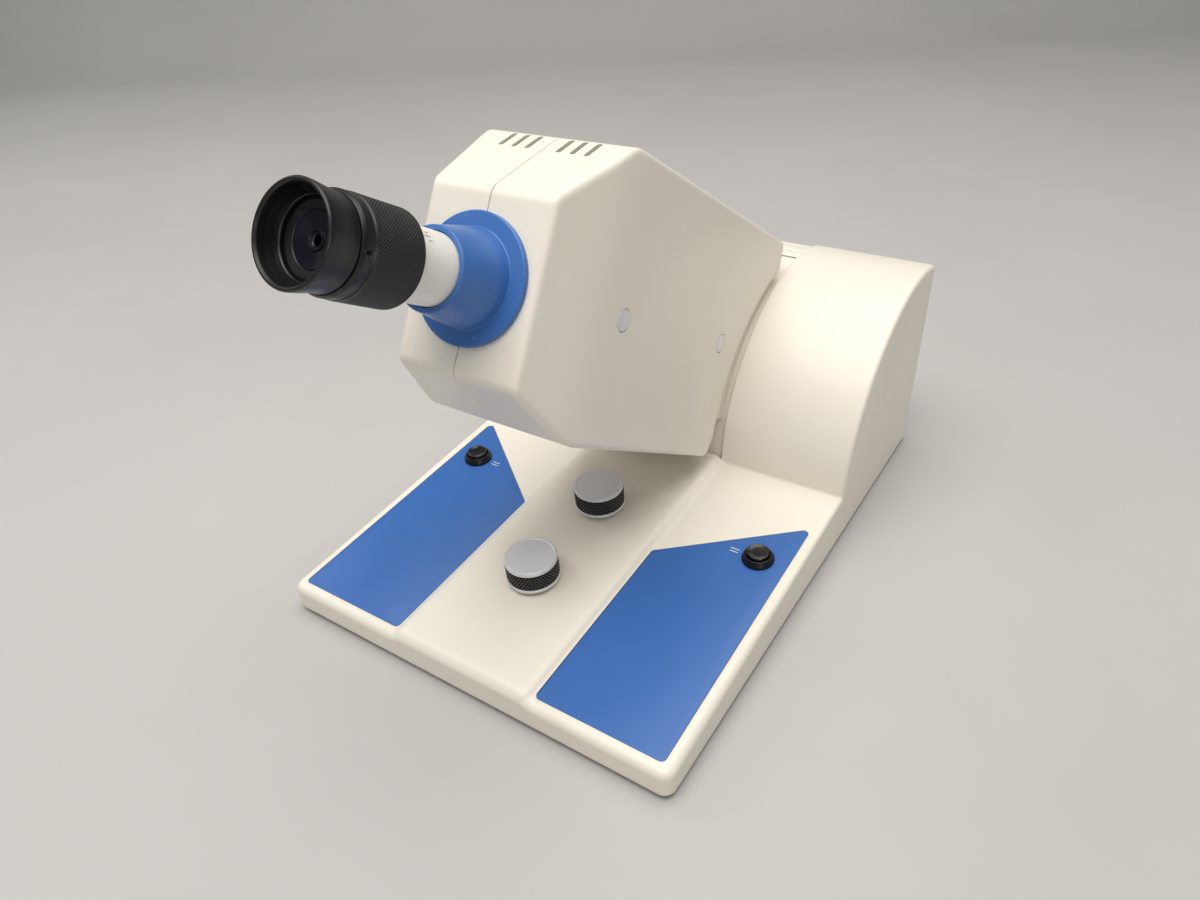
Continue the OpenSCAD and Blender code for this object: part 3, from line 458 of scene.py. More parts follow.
def make_base():
    xs = lines((0, 33, 5.5), (33, 38, 1.25), (38, 46, 0.5), (46, 50, 1), (50, 108, 4.8),
               (108, 112, 1.3), (112, 121.5, 0.8))
    xs = np.concatenate([-xs[:0:-1], xs])
    ys = lines((-172, -158, 1.0), (-158, -140, 3), (-140, 20, 8), (20, 34, 1.4), (34, 60, 1.3),
               (60, 132, 2.0), (132, 158, 2.0), (158, 172, 1.0))
    ws = lines((-48, -24, 2.4), (-24, -6, 0.9), (-6, 6, 0.6), (6, 24, 1.2), (24, 60, 1.8), (60, 108, 1.6))
    v, q = nets(base_field, xs, ys, ws)
    v = v.copy()
    v[:, 2] += DECK_FRONT + TAN * (v[:, 1] + HALF_D)
    v[:, 1] += BASE_Y
    obj = smooth(link("casing_base", mesh_from("casing_base", v * MM, q)), 50)
    first = []
    for side in (-1, 1):
        first.append(prism("c", panel_outline(side, 0.18), -1.0, 6.0, on_deck()))
    for s in KNOB_S.values():
        first.append(prism("c", circle_2d(4.7, 40), -20, 20, on_deck(0, s)))
    w, h, z = 84 / 2, 36 / 2, 33
    first.append(prism("c", [(-w, z - h), (w, z - h), (w, z + h), (-w, z + h)], -12, 12,
                       Matrix.Translation((0, (BASE_Y + HALF_D) * MM, 0)) @ Matrix.Rotation(math.pi / 2, 4, "X")))
    second = []
    for side in (-1, 1):
        second.append(prism("c", circle_2d(7.6, 64), -9, 6, on_deck(side * BUTTON_X, BUTTON_S)))
        second.append(prism("c", circle_2d(8, 64), 38, 48, at_side(side, *PIVOT)))
    cut(obj, [merge("cutter_a", first), merge("cutter_b", second)])
    strips = [rim_strip("lip", side, on_deck()) for side in (-1, 1)]
    body = merge("casing_base", [obj] + strips)
    smooth(body, 38)
    return body


# ---------- head ----------

FACE_DIR = (-math.cos(NOSE), math.sin(NOSE))
FACE_UP = (math.sin(NOSE), math.cos(NOSE))
CREASE_U, TOP_V, BOTTOM_V, HALF_H = 38.4, 70.4, 59.9, 39.3
FACE_W, HEAD_W = 32.2, 41.15


def face_pt(u, v):
    return (FACE[0] + u * FACE_DIR[0] + v * FACE_UP[0], FACE[1] + u * FACE_DIR[1] + v * FACE_UP[1])


HEAD_PTS = [face_pt(0, -HALF_H), face_pt(-CREASE_U, -BOTTOM_V), TIP, (60.0, 60.0),
            (110.5, 130.6), (114.5, 146.8), face_pt(-CREASE_U, TOP_V), face_pt(0, HALF_H)]


def head_body(x, v, u):
    """The head in mm: x sideways, v up the face, u along the optical axis."""
    y = FACE[0] + u * FACE_DIR[0] + v * FACE_UP[0]
    z = FACE[1] + u * FACE_DIR[1] + v * FACE_UP[1]
    ax = np.abs(x)
    d = None
    n = len(HEAD_PTS)
    for i in range(n):
        a, b = HEAD_PTS[i], HEAD_PTS[(i + 1) % n]
        length = math.hypot(b[0] - a[0], b[1] - a[1])
        ny, nz = (b[1] - a[1]) / length, -(b[0] - a[0]) / length
        plane = (y - a[0]) * ny + (z - a[1]) * nz
        d = plane if d is None else rmax(d, plane, EDGE_R)
    slope = math.hypot(HEAD_W - FACE_W, CREASE_U)
    flank = ((ax - FACE_W) * CREASE_U + u * (HEAD_W - FACE_W)) / slope
    width = rmax(ax - HEAD_W, flank, EDGE_R)
    d = rmax(d, width, EDGE_R)
    tip = np.minimum(((y - TIP[0]) - (z - TIP[1])) / math.sqrt(2), 66.0 - z)
    tail = 112.5 - np.hypot(y - 131.0, z - 20.0)
    return rmax(rmax(d, tip, 2.0), tail, 2.0)


def head_half_field(x, v, u):
    outer = head_body(x, v, u)
    shell = np.maximum(outer, -(outer + WALL))
    return rmax(shell, SEAM - x, 0.5)


def make_head():
    xs = lines((-0.45, 1.5, 0.15), (1.5, 5, 0.7), (5, 26, 3.5), (26, 43, 1.0))
    vs = lines((-72, -34, 1.3), (-34, 34, 3.4), (34, 76, 1.3))
    us = lines((-242, -50, 1.5), (-50, -30, 1.0), (-30, -8, 2.2), (-8, 2, 0.7))
    v, q = nets(head_half_field, xs, vs, us)
    face = on_face()
    out = {}
    for side, name in ((-1, "head_shell_left"), (1, "head_shell_right")):
        w = v.copy()
        w[:, 0] *= side
        f = q if side > 0 else q[:, ::-1]
        mesh = mesh_from("shell", w * MM, f.copy())
        mesh.transform(face)
        obj = link("shell_" + ("left" if side < 0 else "right"), mesh)
        # the vents, the eyepiece bore, the screw seats and the opening at the rear
        cutters = []
        for vx in (8.3, 15.4, 22.6):
            outline = fillet([(side * vx - 1.3, 34.6, 1.25), (side * vx + 1.3, 34.6, 1.25),
                              (side * vx + 1.3, 47.3, 1.25), (side * vx - 1.3, 47.3, 1.25)], 6)
            cutters.append(prism("c", outline, -14, 14, VENT_FRAME))
        cutters.append(prism("c", circle_2d(14.6, 96), -12, 18, on_face(0, EYE_V)))
        for p in PLUGS:
            cutters.append(prism("c", circle_2d(PLUG_R + 0.3, 64), 37.6, 60, at_side(side, *p)))
        cutters.append(prism("c", [(-35, 68), (35, 68), (35, 112), (-35, 112)], -36.2, 36.2,
                             Matrix.Translation((0, (BASE_Y + 62) * MM, 0)) @ AXIS_X))
        cut(obj, [merge("cutter", cutters)])
        out[name] = smooth(obj, 38)
    return out


facet_dir = Vector((0, *(np.array(face_pt(-CREASE_U, TOP_V)) - np.array(face_pt(0, HALF_H)))))
facet_dir.normalize()
facet_x = Vector((1, 0, 0))
facet_n = facet_x.cross(facet_dir)
VENT_FRAME = Matrix.Translation((0, (BASE_Y + face_pt(0, HALF_H)[0]) * MM, face_pt(0, HALF_H)[1] * MM)) @ Matrix(
    (facet_x, facet_dir, facet_n)).transposed().to_4x4()
AXIS_X = Matrix(((0, 0, 1, 0), (1, 0, 0, 0), (0, 1, 0, 0), (0, 0, 0, 1)))


# ---------- eyepiece ----------

def knurled(name, radius, h0, h1, at, starts, depth, inner, lean, cross, per=7, rows_per=6, fade=0.8):
    """Tube with crossed grooves round its outside; cross is the depth of the second set of grooves."""
    segs = starts * per
    pitch = 2 * math.pi * radius / starts
    rows = max(8, int(round((h1 - h0) / pitch * rows_per / lean)))
    th = np.arange(segs) * 2 * math.pi / segs
    hh = np.linspace(h0, h1, rows + 1)
    T, H = np.meshgrid(th, hh)
    a = (T * starts / (2 * math.pi) + (H - h0) / (pitch * lean)) % 1.0
    b = (T * starts / (2 * math.pi) - (H - h0) / (pitch * lean)) % 1.0
    ga, gb = np.abs(a - 0.5) * 2, np.abs(b - 0.5) * 2
    groove = np.maximum(ga, cross * gb) ** 1.5
    edge = np.clip(np.minimum(H - h0, h1 - H) / fade, 0, 1)
    R = radius - depth * groove * edge - 0.25 * (1 - edge) ** 2
    verts = np.stack([R * np.cos(T), R * np.sin(T), H], axis=2).reshape(-1, 3)
    ring0 = np.stack([inner * np.cos(th), inner * np.sin(th), np.full(segs, h0)], axis=1)
    ring1 = np.stack([inner * np.cos(th), inner * np.sin(th), np.full(segs, h1)], axis=1)
    base = len(verts)
    verts = np.concatenate([verts, ring0, ring1])
    k = np.arange(segs)
    m = (k + 1) % segs
    quads = [np.stack([i * segs + k, i * segs + m, (i + 1) * segs + m, (i + 1) * segs + k], axis=1)
             for i in range(rows)]
    quads.append(np.stack([base + k, base + m, m, k], axis=1))
    quads.append(np.stack([rows * segs + k, rows * segs + m, base + segs + m, base + segs + k], axis=1))
    quads.append(np.stack([base + segs + k, base + segs + m, base + m, base + k], axis=1))
    mesh = mesh_from(name, verts * MM, np.concatenate(quads))
    # per-vertex knurl mask: -1 in the grooves for painted shade, +1 on the crests for a painted highlight
    knurl_shade_highlight = np.zeros(len(verts), dtype=np.float32)
    knurl_shade_highlight[:base] = ((1 - 2 * np.maximum(ga, cross * gb)) * np.ceil(edge)).ravel()
    mesh.attributes.new("knurl_shade_highlight", "FLOAT", "POINT").data.foreach_set("value", knurl_shade_highlight)
    mesh.transform(at)
    return smooth(link(name, mesh), 60)


def make_eyepiece():
    eye = on_face(0, EYE_V)
    out = {}
    out["flange_collar"] = lathe("collar_flange", [
        (14.9, 0.05), (28, 0.05, 0.3), (28, 2.7, 0.8), (21.0, 3.0, 0.7),
        (20.6, 7.5, 6), (19.2, 15, 12), (17.6, 23, 9), (17.0, 26.8, 0.6), (14.9, 26.8, 0.3)], eye, 160, 6)
    out["eyepiece_tube"] = lathe("tube_eyepiece", [
        (11.5, -10, 0.3), (14.5, -10), (14.5, -6), (17.5, -6), (17.5, -3.2), (14.5, -3.2),
        (14.5, 62.5, 0.4), (11.5, 62.5, 0.3)], eye, 128, 3)
    b = 49.2
    core = lathe("core", [
        (14.55, b, 0.1), (17.9, b, 0.3), (18.35, b + 0.5, 0.3), (18.35, b + 23.4, 0.3), (17.9, b + 24.2, 0.3),
        (15, b + 24.2), (15, b + 28), (14.55, b + 28), (14.55, b + 18.8), (12.5, b + 18.8),
        (12.5, b + 17.2), (14.55, b + 17.2)], eye, 128, 3)
    knurl = knurled("knurl", 18.72, b + 1.0, b + 22.9, eye, 84, 0.34, 17.5, 1.0, 0.45)
    chamfer = lathe("ring", [(17.6, b + 22.9), (18.62, b + 22.9, 0.1), (18.62, b + 23.5, 0.1), (18.0, b + 24.2, 0.15),
                             (17.6, b + 24.2)], eye, 128, 2)
    rear = lathe("ring", [(17.6, b + 0.1), (18.2, b + 0.1, 0.1), (18.62, b + 0.55, 0.1), (18.62, b + 1.0),
                          (17.6, b + 1.0)], eye, 128, 2)
    out["focus_barrel"] = smooth(merge("barrel_focus", [core, knurl, chamfer, rear]), 60)
    ring = lathe("ring_clamp", [
        (15, b + 24.3), (18.1, b + 24.3, 0.15), (18.4, b + 24.6, 0.15), (18.4, b + 28.2, 0.25),
        (17.7, b + 29.6, 0.3), (15, b + 29.6)], eye, 128, 3)
    hole = prism("c", circle_2d(1.25, 32), 15.4, 22, eye @ Matrix.Translation((0, 0, (b + 27) * MM))
                 @ Matrix.Rotation(math.pi / 2, 4, "Y"))
    out["clamp_ring"] = smooth(cut(ring, [hole]), 38)
    out["eyecup"] = lathe("cup_eye", [
        (11, 71.2), (14.4, 71.2), (14.4, 79.05), (16.9, 79.05, 0.2), (17.3, 79.5, 0.2), (17.2, 81.6, 1),
        (17.5, 84, 3), (18.05, 87.6, 4), (18.4, 90.6, 3), (18.5, 92.4, 0.6), (17.9, 93.1, 0.5),
        (17.2, 93.0, 0.5), (16.6, 92.1, 1), (16.1, 89.5, 4), (15.2, 86.6, 2), (14.6, 85.2, 0.6),
        (14.15, 84.8, 0.25), (13.95, 83.0, 0.1), (13.5, 83.0, 0.1), (13.4, 83.8, 0.25), (12.9, 83.8, 0.3),
        (10.3, 83.25, 0.2), (10, 82.9, 0.1), (10, 78), (11, 78)],
        eye, 144, 5, 30)
    out["pupil_stop"] = lathe("stop_pupil", [
        (1.7, 79.1, 0.1), (9.95, 79.1), (9.95, 83.0, 0.1), (9.6, 83.05, 0.1), (3.8, 81.9, 0.2), (3.55, 82.5, 0.15),
        (3.2, 82.55, 0.15), (2.7, 81.8, 0.3), (2.3, 81.9, 0.15), (1.7, 81.3, 0.2)],
        eye, 112, 4, 30)
    return out


# ---------- knobs, buttons, plugs, feet ----------

def make_knob(which):
    at = on_deck(0, KNOB_S[which])
    z0, z1, z2, top = 5.8, 7.7, 17.0, 19.6
    core = lathe(which + "_flange", [
        (8.2, z0), (14.5, z0, 0.2), (14.9, z0 + 0.4, 0.3), (14.9, z1 - 0.5, 0.4), (14.55, z1, 0.2),
        (12, z1), (12, z2), (3.0, z2), (3.0, 12.8), (3.0, z0 + 3.4), (8.2, z0 + 3.4)], at, 128, 4)
    grip = knurled(which + "_knurl", 14.5, z1 + 0.02, z2 - 0.02, at, 50, 0.8, 12.02, 1.3, 1.0, 8, 8, 0.3)
    cap = lathe(which + "_disc", [
        (0, z2), (13.9, z2, 0.2), (14.25, z2 + 0.35, 0.25), (14.25, top - 0.8, 0.35), (13.6, top - 0.1, 0.45),
        (13.0, top, 0.25), (12.5, top - 0.28, 0.25), (11.9, top - 0.32, 0.3), (0, top - 0.32)], at, 128, 5)
    return {which + "_core": core, which + "_grip": grip, which + "_cap": cap}


def make_buttons():
    out = {}
    bezels = []
    for side, name in ((-1, "left"), (1, "right")):
        at = on_deck(side * BUTTON_X, BUTTON_S)
        bezels.append(lathe("b", [
            (6.2, -11), (7.4, -11), (7.4, 0), (8.75, 0, 0.1), (8.8, 1.3, 0.4), (8.3, 2.2, 0.5), (7.45, 3.6, 0.35),
            (7.3, 4.0, 0.2), (6.85, 4.1, 0.15), (6.5, 3.75, 0.1), (6.2, 3.2)], at, 112, 4))
        out[name + "_button_cap"] = lathe(name + "_cap_button", [
            (0, -8.9), (2, -8.9), (2, -6), (6.13, -6), (6.13, 5.25, 0.12), (5.75, 5.75, 0.1), (5.3, 5.9, 0.12),
            (3.7, 5.5, 1.2), (0, 5.3)], at, 96, 4, 25)
    out["button_bezels"] = smooth(merge("bezels_button", bezels), 35)
    return out


def make_plugs():
    plugs = []
    for side in (-1, 1):
        for p in PLUGS:
            plug = lathe("p", [(0, 39.8), (PLUG_R, 39.8), (PLUG_R, 41.1, 0.2), (PLUG_R - 0.4, 41.4, 0.2),
                               (2.6, 41.75, 3), (0, 41.85)], at_side(side, *p), 72, 4)
            plugs.append(plug)
    return smooth(merge("plugs_side", plugs), 35)


def make_feet():
    feet = []
    for sx in (-1, 1):
        for sy in (-1, 1):
            at = Matrix.Translation((sx * 96 * MM, (BASE_Y + sy * 150) * MM, 0))
            feet.append(lathe("f", [(0, 0.35), (5.6, 0.35, 0.3), (6.2, 0, 0.3), (9.2, 0, 0.5), (10, 1.2, 0.6),
                                    (9.7, 3.0), (0, 3.0)], at, 64, 3))
    return smooth(merge("feet_rubber", feet), 35)


def make_panels():
    out = {}
    for side, name in ((-1, "panel_left"), (1, "panel_right")):
        sheet = prism("sheet", panel_outline(side, 0.0), -1.0, 0.0, on_deck(), 0.14, 2)
        bore = prism("c", circle_2d(7.6, 64), -3, 3, on_deck(side * BUTTON_X, BUTTON_S))
        out[name] = smooth(cut(sheet, [bore]), 38)
        out[name].name = "inlay_" + ("left" if side < 0 else "right")
    return out


def make_strokes():
    """Two fine printed strokes inboard of each button."""
    marks = []
    half, thick = 2.5, 0.22
    for side in (-1, 1):
        for k in (-1.1, 1.1):
            x0, s0 = side * (BUTTON_X - 13.9), BUTTON_S + 0.3 + k
            outline = fillet([(x0 - half, s0 - thick, 0.2), (x0 + half, s0 - thick, 0.2),
                              (x0 + half, s0 + thick, 0.2), (x0 - half, s0 + thick, 0.2)], 3)
            marks.append(prism("m", outline, -0.05, 0.05, on_deck()))
    return merge("strokes_white", marks)


TICK_ANGLE = 50         # degrees from the user's right, round the tube
TICK_STEP = 8           # degrees between the marks
TICK_HALF = 0.13        # half width of a mark
TICK_START, TICK_SHORT, TICK_LONG = 39.5, 41.6, 43.0    # distances in front of the head's face


def make_ticks():
    """Focus index marks printed on the white tube."""
    marks = []
    eye = on_face(0, EYE_V)
    for turn, h1 in ((-TICK_STEP, TICK_SHORT), (0, TICK_LONG), (TICK_STEP, TICK_SHORT)):
        a = math.radians(TICK_ANGLE + turn)
        at = eye @ Matrix.Rotation(a, 4, "Z") @ Matrix.Translation((14.5 * MM, 0, 0)) @ Matrix.Rotation(
            math.pi / 2, 4, "Y")
        outline = [(-h1, -TICK_HALF), (-TICK_START, -TICK_HALF), (-TICK_START, TICK_HALF), (-h1, TICK_HALF)]
        marks.append(prism("t", outline, -0.06, 0.05, at))
    return merge("ticks_focus", marks)


# ---------- materials ----------

def srgb(r, g, b):
    return tuple(((c / 12.92) if c <= 0.04045 else ((c + 0.055) / 1.055) ** 2.4) for c in (r, g, b)) + (1.0,)


class Nodes:
    def __init__(self, name):
        self.mat = bpy.data.materials.new(name)
        self.mat.use_nodes = True
        self.tree = self.mat.node_tree
        self.tree.nodes.clear()
        self.out = self.add("ShaderNodeOutputMaterial")
        self.bsdf = self.add("ShaderNodeBsdfPrincipled")
        self.wire(self.bsdf, "BSDF", self.out, "Surface")
        self.coord = self.add("ShaderNodeTexCoord")

    def add(self, kind, **values):
        node = self.tree.nodes.new(kind)
        for key, value in values.items():
            setattr(node, key, value)
        return node

    def wire(self, a, out, b, inp):
        self.tree.links.new(a.outputs[out], b.inputs[inp])

    def noise(self, scale, detail=3.0, rough=0.5, stretch=None):
        node = self.add("ShaderNodeTexNoise")
        node.inputs["Scale"].default_value = scale
        node.inputs["Detail"].default_value = detail
        node.inputs["Roughness"].default_value = rough
        if stretch:
            mapping = self.add("ShaderNodeMapping")
            mapping.inputs["Scale"].default_value = stretch
            self.wire(self.coord, "Object", mapping, "Vector")
            self.wire(mapping, "Vector", node, "Vector")
        else:
            self.wire(self.coord, "Object", node, "Vector")
        return node

    def remap(self, node, out, lo, hi, to_lo, to_hi):
        m = self.add("ShaderNodeMapRange")
        m.inputs["From Min"].default_value = lo
        m.inputs["From Max"].default_value = hi
        m.inputs["To Min"].default_value = to_lo
        m.inputs["To Max"].default_value = to_hi
        self.wire(node, out, m, "Value")
        return m

    def mix(self, factor, fout, a, b):
        m = self.add("ShaderNodeMix", data_type="RGBA")
        self.wire(factor, fout, m, 0)
        for sock, val in ((6, a), (7, b)):
            if isinstance(val, tuple):
                m.inputs[sock].default_value = val
            else:
                self.tree.links.new(val.outputs[2 if val.bl_idname == "ShaderNodeMix" else 0], m.inputs[sock])
        return m

    def bump(self, node, out, strength, distance, chain=None):
        b = self.add("ShaderNodeBump")
        b.inputs["Strength"].default_value = strength
        b.inputs["Distance"].default_value = distance
        self.wire(node, out, b, "Height")
        if chain is not None:
            self.wire(chain, "Normal", b, "Normal")
        return b


def finish_paint(name, color, dark, rough, grain, depth, rough_var=0.05, coat=0.0, spec=0.5, speck=None, wear=None,
                 knurl_shade_highlight=None):
    """Painted or moulded surface with a fine grain, soft mottling and faint handling marks;
    the knurl pair of factors darkens a knurl's grooves as painted shade and brightens its crests as a painted
    highlight."""
    n = Nodes(name)
    broad = n.noise(9.0, 4.0, 0.6)
    mid = n.noise(120.0, 3.0, 0.6)
    fine = n.noise(grain, 2.0, 0.55)
    base = n.mix(n.remap(broad, "Fac", 0.35, 0.7, 0.0, 1.0), 0, srgb(*color), srgb(*dark))
    soft = n.mix(n.remap(mid, "Fac", 0.3, 0.75, 0.0, 0.35), 0, base, srgb(*dark))
    last = soft
    if wear:
        geo = n.add("ShaderNodeNewGeometry")
        edge = n.remap(geo, "Pointiness", 0.515, 0.56, 0.0, 0.55)
        last = n.mix(edge, 0, soft, srgb(*wear))
    if speck:
        dots = n.noise(420.0, 1.0, 0.4)
        last = n.mix(n.remap(dots, "Fac", 0.71, 0.75, 0.0, 0.5), 0, last, srgb(*speck))
    # the knurl mask scales the colour: painted shade in the grooves, painted highlight on the crests
    if knurl_shade_highlight:
        knurl_light_attr = n.add("ShaderNodeAttribute", attribute_name="knurl_shade_highlight")
        scaled = n.add("ShaderNodeVectorMath", operation="SCALE")
        n.tree.links.new(last.outputs[2], scaled.inputs[0])
        groove_shade = n.remap(knurl_light_attr, "Fac", -1.0, 0.0, knurl_shade_highlight[0], 1.0)
        crest_highlight = n.remap(knurl_light_attr, "Fac", 0.0, 1.0, 0.0, knurl_shade_highlight[1] - 1.0)
        factor = n.add("ShaderNodeMath", operation="ADD")
        n.wire(groove_shade, 0, factor, 0)
        n.wire(crest_highlight, 0, factor, 1)
        n.wire(factor, 0, scaled, "Scale")
        n.wire(scaled, 0, n.bsdf, "Base Color")
    else:
        n.tree.links.new(last.outputs[2], n.bsdf.inputs["Base Color"])
    smear = n.noise(34.0, 5.0, 0.65, (1.0, 1.0, 0.5))
    rr = n.remap(smear, "Fac", 0.3, 0.7, rough - rough_var, rough + rough_var)
    n.wire(rr, 0, n.bsdf, "Roughness")
    n.bsdf.inputs["Specular IOR Level"].default_value = spec
    n.bsdf.inputs["Coat Weight"].default_value = coat
    n.bsdf.inputs["Coat Roughness"].default_value = 0.2
    b1 = n.bump(fine, "Fac", 0.55, depth)
    b2 = n.bump(mid, "Fac", 0.35, depth * 2.5, b1)
    n.wire(b2, "Normal", n.bsdf, "Normal")
    return n.mat


def finish_metal(name, color, dark, rough, grain, depth, stretch=None, rough_var=0.06, metallic=1.0, wear=None):
    n = Nodes(name)
    broad = n.noise(30.0, 4.0, 0.6)
    fine = n.noise(grain, 3.0, 0.6, stretch)
    last = n.mix(n.remap(broad, "Fac", 0.3, 0.7, 0.0, 1.0), 0, srgb(*color), srgb(*dark))
    if wear:
        geo = n.add("ShaderNodeNewGeometry")
        edge = n.remap(geo, "Pointiness", 0.52, 0.58, 0.0, 0.7)
        last = n.mix(edge, 0, last, srgb(*wear))
    n.tree.links.new(last.outputs[2], n.bsdf.inputs["Base Color"])
    n.bsdf.inputs["Metallic"].default_value = metallic
    rr = n.remap(fine, "Fac", 0.3, 0.7, rough - rough_var, rough + rough_var)
    n.wire(rr, 0, n.bsdf, "Roughness")
    n.wire(n.bump(fine, "Fac", 0.5, depth), "Normal", n.bsdf, "Normal")
    return n.mat


def finish_turned(name, color, dark, rough):
    """Dark coated disc turned round the eyepiece axis, with streaked highlights."""
    n = Nodes(name)
    broad = n.noise(300.0, 3.0, 0.6)
    tint = n.mix(n.remap(broad, "Fac", 0.35, 0.7, 0.0, 1.0), 0, srgb(*color), srgb(*dark))
    n.tree.links.new(tint.outputs[2], n.bsdf.inputs["Base Color"])
    eye = on_face(0, EYE_V)
    arm = n.add("ShaderNodeVectorMath", operation="SUBTRACT")
    arm.inputs[1].default_value = eye.translation
    n.wire(n.coord, "Object", arm, 0)
    tangent = n.add("ShaderNodeVectorMath", operation="CROSS_PRODUCT")
    tangent.inputs[0].default_value = eye.to_3x3() @ Vector((0, 0, 1))
    n.wire(arm, 0, tangent, 1)
    unit = n.add("ShaderNodeVectorMath", operation="NORMALIZE")
    n.wire(tangent, 0, unit, 0)
    n.wire(unit, 0, n.bsdf, "Tangent")
    n.bsdf.inputs["Anisotropic"].default_value = 0.92
    n.bsdf.inputs["Metallic"].default_value = 0.55
    n.bsdf.inputs["Specular IOR Level"].default_value = 0.8
    n.wire(n.remap(broad, "Fac", 0.3, 0.7, rough - 0.04, rough + 0.04), 0, n.bsdf, "Roughness")
    n.wire(n.bump(broad, "Fac", 0.2, 0.00001), "Normal", n.bsdf, "Normal")
    return n.mat


def finish_glass(name, color, rough=0.03):
    n = Nodes(name)
    broad = n.noise(60.0, 2.0)
    tint = n.mix(n.remap(broad, "Fac", 0.3, 0.7, 0.0, 1.0), 0, srgb(*color), srgb(*[c * 0.93 for c in color]))
    n.tree.links.new(tint.outputs[2], n.bsdf.inputs["Base Color"])
    n.bsdf.inputs["Transmission Weight"].default_value = 0.92
    n.bsdf.inputs["IOR"].default_value = 1.5
    rr = n.remap(broad, "Fac", 0.3, 0.7, rough, rough + 0.03)
    n.wire(rr, 0, n.bsdf, "Roughness")
    n.wire(n.bump(broad, "Fac", 0.05, 0.00002), "Normal", n.bsdf, "Normal")
    return n.mat


def finish_board(name):
    """Green circuit board with faint copper tracks under the mask."""
    n = Nodes(name)
    brick = n.add("ShaderNodeTexBrick")
    brick.inputs["Scale"].default_value = 220.0
    brick.inputs["Mortar Size"].default_value = 0.03
    brick.inputs["Color1"].default_value = srgb(0.10, 0.34, 0.20)
    brick.inputs["Color2"].default_value = srgb(0.12, 0.38, 0.23)
    brick.inputs["Mortar"].default_value = srgb(0.20, 0.50, 0.30)
    n.wire(n.coord, "Object", brick, "Vector")
    n.wire(brick, "Color", n.bsdf, "Base Color")
    fine = n.noise(900.0)
    n.wire(n.remap(fine, "Fac", 0.3, 0.7, 0.3, 0.45), 0, n.bsdf, "Roughness")
    n.wire(n.bump(brick, "Fac", 0.3, 0.00005), "Normal", n.bsdf, "Normal")
    return n.mat


MATERIALS = {
    "casing_cream": finish_paint("cream_paint", (0.93, 0.908, 0.86), (0.91, 0.885, 0.83), 0.40, 1500.0, 0.00007,
                                 0.05, 0.08, 0.45),
    "panel_blue": finish_paint("blue_film", (0.20, 0.405, 0.69), (0.185, 0.385, 0.665), 0.40, 1900.0, 0.00004,
                               0.05, 0.05, 0.45),
    "collar_blue": finish_paint("blue_lacquer", (0.235, 0.43, 0.70), (0.22, 0.405, 0.67), 0.36, 1500.0, 0.00008,
                                0.05, 0.1, 0.5, speck=(0.32, 0.5, 0.75)),
    "tube_white": finish_paint("white_lacquer", (0.93, 0.925, 0.90), (0.90, 0.89, 0.86), 0.34, 1500.0, 0.00003,
                               0.04, 0.12, 0.5),
    # eyepiece knurl: grooves darkened as painted shade, crests brightened ninefold as a painted highlight
    "black_anodised": finish_paint("black_anodise", (0.045, 0.046, 0.05), (0.03, 0.031, 0.036), 0.36, 2600.0,
                                   0.00003, 0.06, 0.0, 0.5, wear=(0.16, 0.165, 0.17), knurl_shade_highlight=(0.4, 9.0)),
    "black_plastic": finish_paint("black_plastic", (0.035, 0.036, 0.042), (0.022, 0.023, 0.028), 0.34, 2200.0,
                                  0.00004, 0.06, 0.0, 0.4, wear=(0.12, 0.12, 0.12)),
    # knob grip knurl: grooves darkened as painted shade, crests brightened very strongly as a painted highlight
    "knob_rubber": finish_paint("grip_rubber", (0.04, 0.04, 0.042), (0.03, 0.03, 0.032), 0.5, 2600.0, 0.00004,
                                0.06, 0.0, 0.3, knurl_shade_highlight=(0.5, 160.0)),
    "rubber_black": finish_paint("foot_rubber", (0.07, 0.07, 0.07), (0.05, 0.05, 0.05), 0.75, 1500.0, 0.0001,
                                 0.06, 0.0, 0.3),
    "satin_silver": finish_metal("satin_silver", (0.88, 0.88, 0.885), (0.85, 0.85, 0.86), 0.38, 2400.0, 0.00003,
                                 None, 0.06, 0.3),
    "steel_plate": finish_metal("zinc_plate", (0.62, 0.63, 0.64), (0.50, 0.51, 0.53), 0.36, 500.0, 0.00003),
    "zinc_fixings": finish_metal("zinc_bright", (0.74, 0.75, 0.77), (0.62, 0.63, 0.65), 0.28, 900.0, 0.00002),
    "encoder_body": finish_metal("stamped_steel", (0.45, 0.46, 0.47), (0.36, 0.37, 0.38), 0.4, 700.0, 0.00003),
    "brass_parts": finish_metal("turned_brass", (0.76, 0.62, 0.34), (0.66, 0.52, 0.27), 0.3, 900.0, 0.00002),
    "cast_alloy": finish_metal("machined_alloy", (0.56, 0.57, 0.58), (0.46, 0.47, 0.48), 0.38, 700.0, 0.00003,
                               (1.0, 0.08, 1.0)),
    "shaft_steel": finish_metal("ground_steel", (0.74, 0.75, 0.76), (0.66, 0.67, 0.68), 0.25, 900.0, 0.00002,
                                (1.0, 1.0, 0.1)),
    "friction_lining": finish_paint("pressed_fibre", (0.28, 0.23, 0.20), (0.22, 0.18, 0.155), 0.8, 900.0, 0.0002,
                                    0.05, 0.0, 0.3, speck=(0.5, 0.42, 0.3)),
    "board_green": finish_board("board_mask"),
    "optical_glass": finish_glass("coated_glass", (0.82, 0.90, 0.95)),
    "filter_glass": finish_glass("filter_glass", (0.88, 0.62, 0.25)),
}
MATERIALS["gloss_black"] = finish_paint("gloss_black", (0.05, 0.048, 0.05), (0.035, 0.034, 0.036), 0.2, 900.0, 0.00002,
                                        0.05, 0.0, 0.7)
MATERIALS["coated_stop"] = finish_turned("coated_stop", (0.085, 0.085, 0.15), (0.06, 0.06, 0.115), 0.26)
INK_WHITE = finish_paint("ink_white", (0.92, 0.93, 0.95), (0.87, 0.88, 0.90), 0.5, 2500.0, 0.00002)
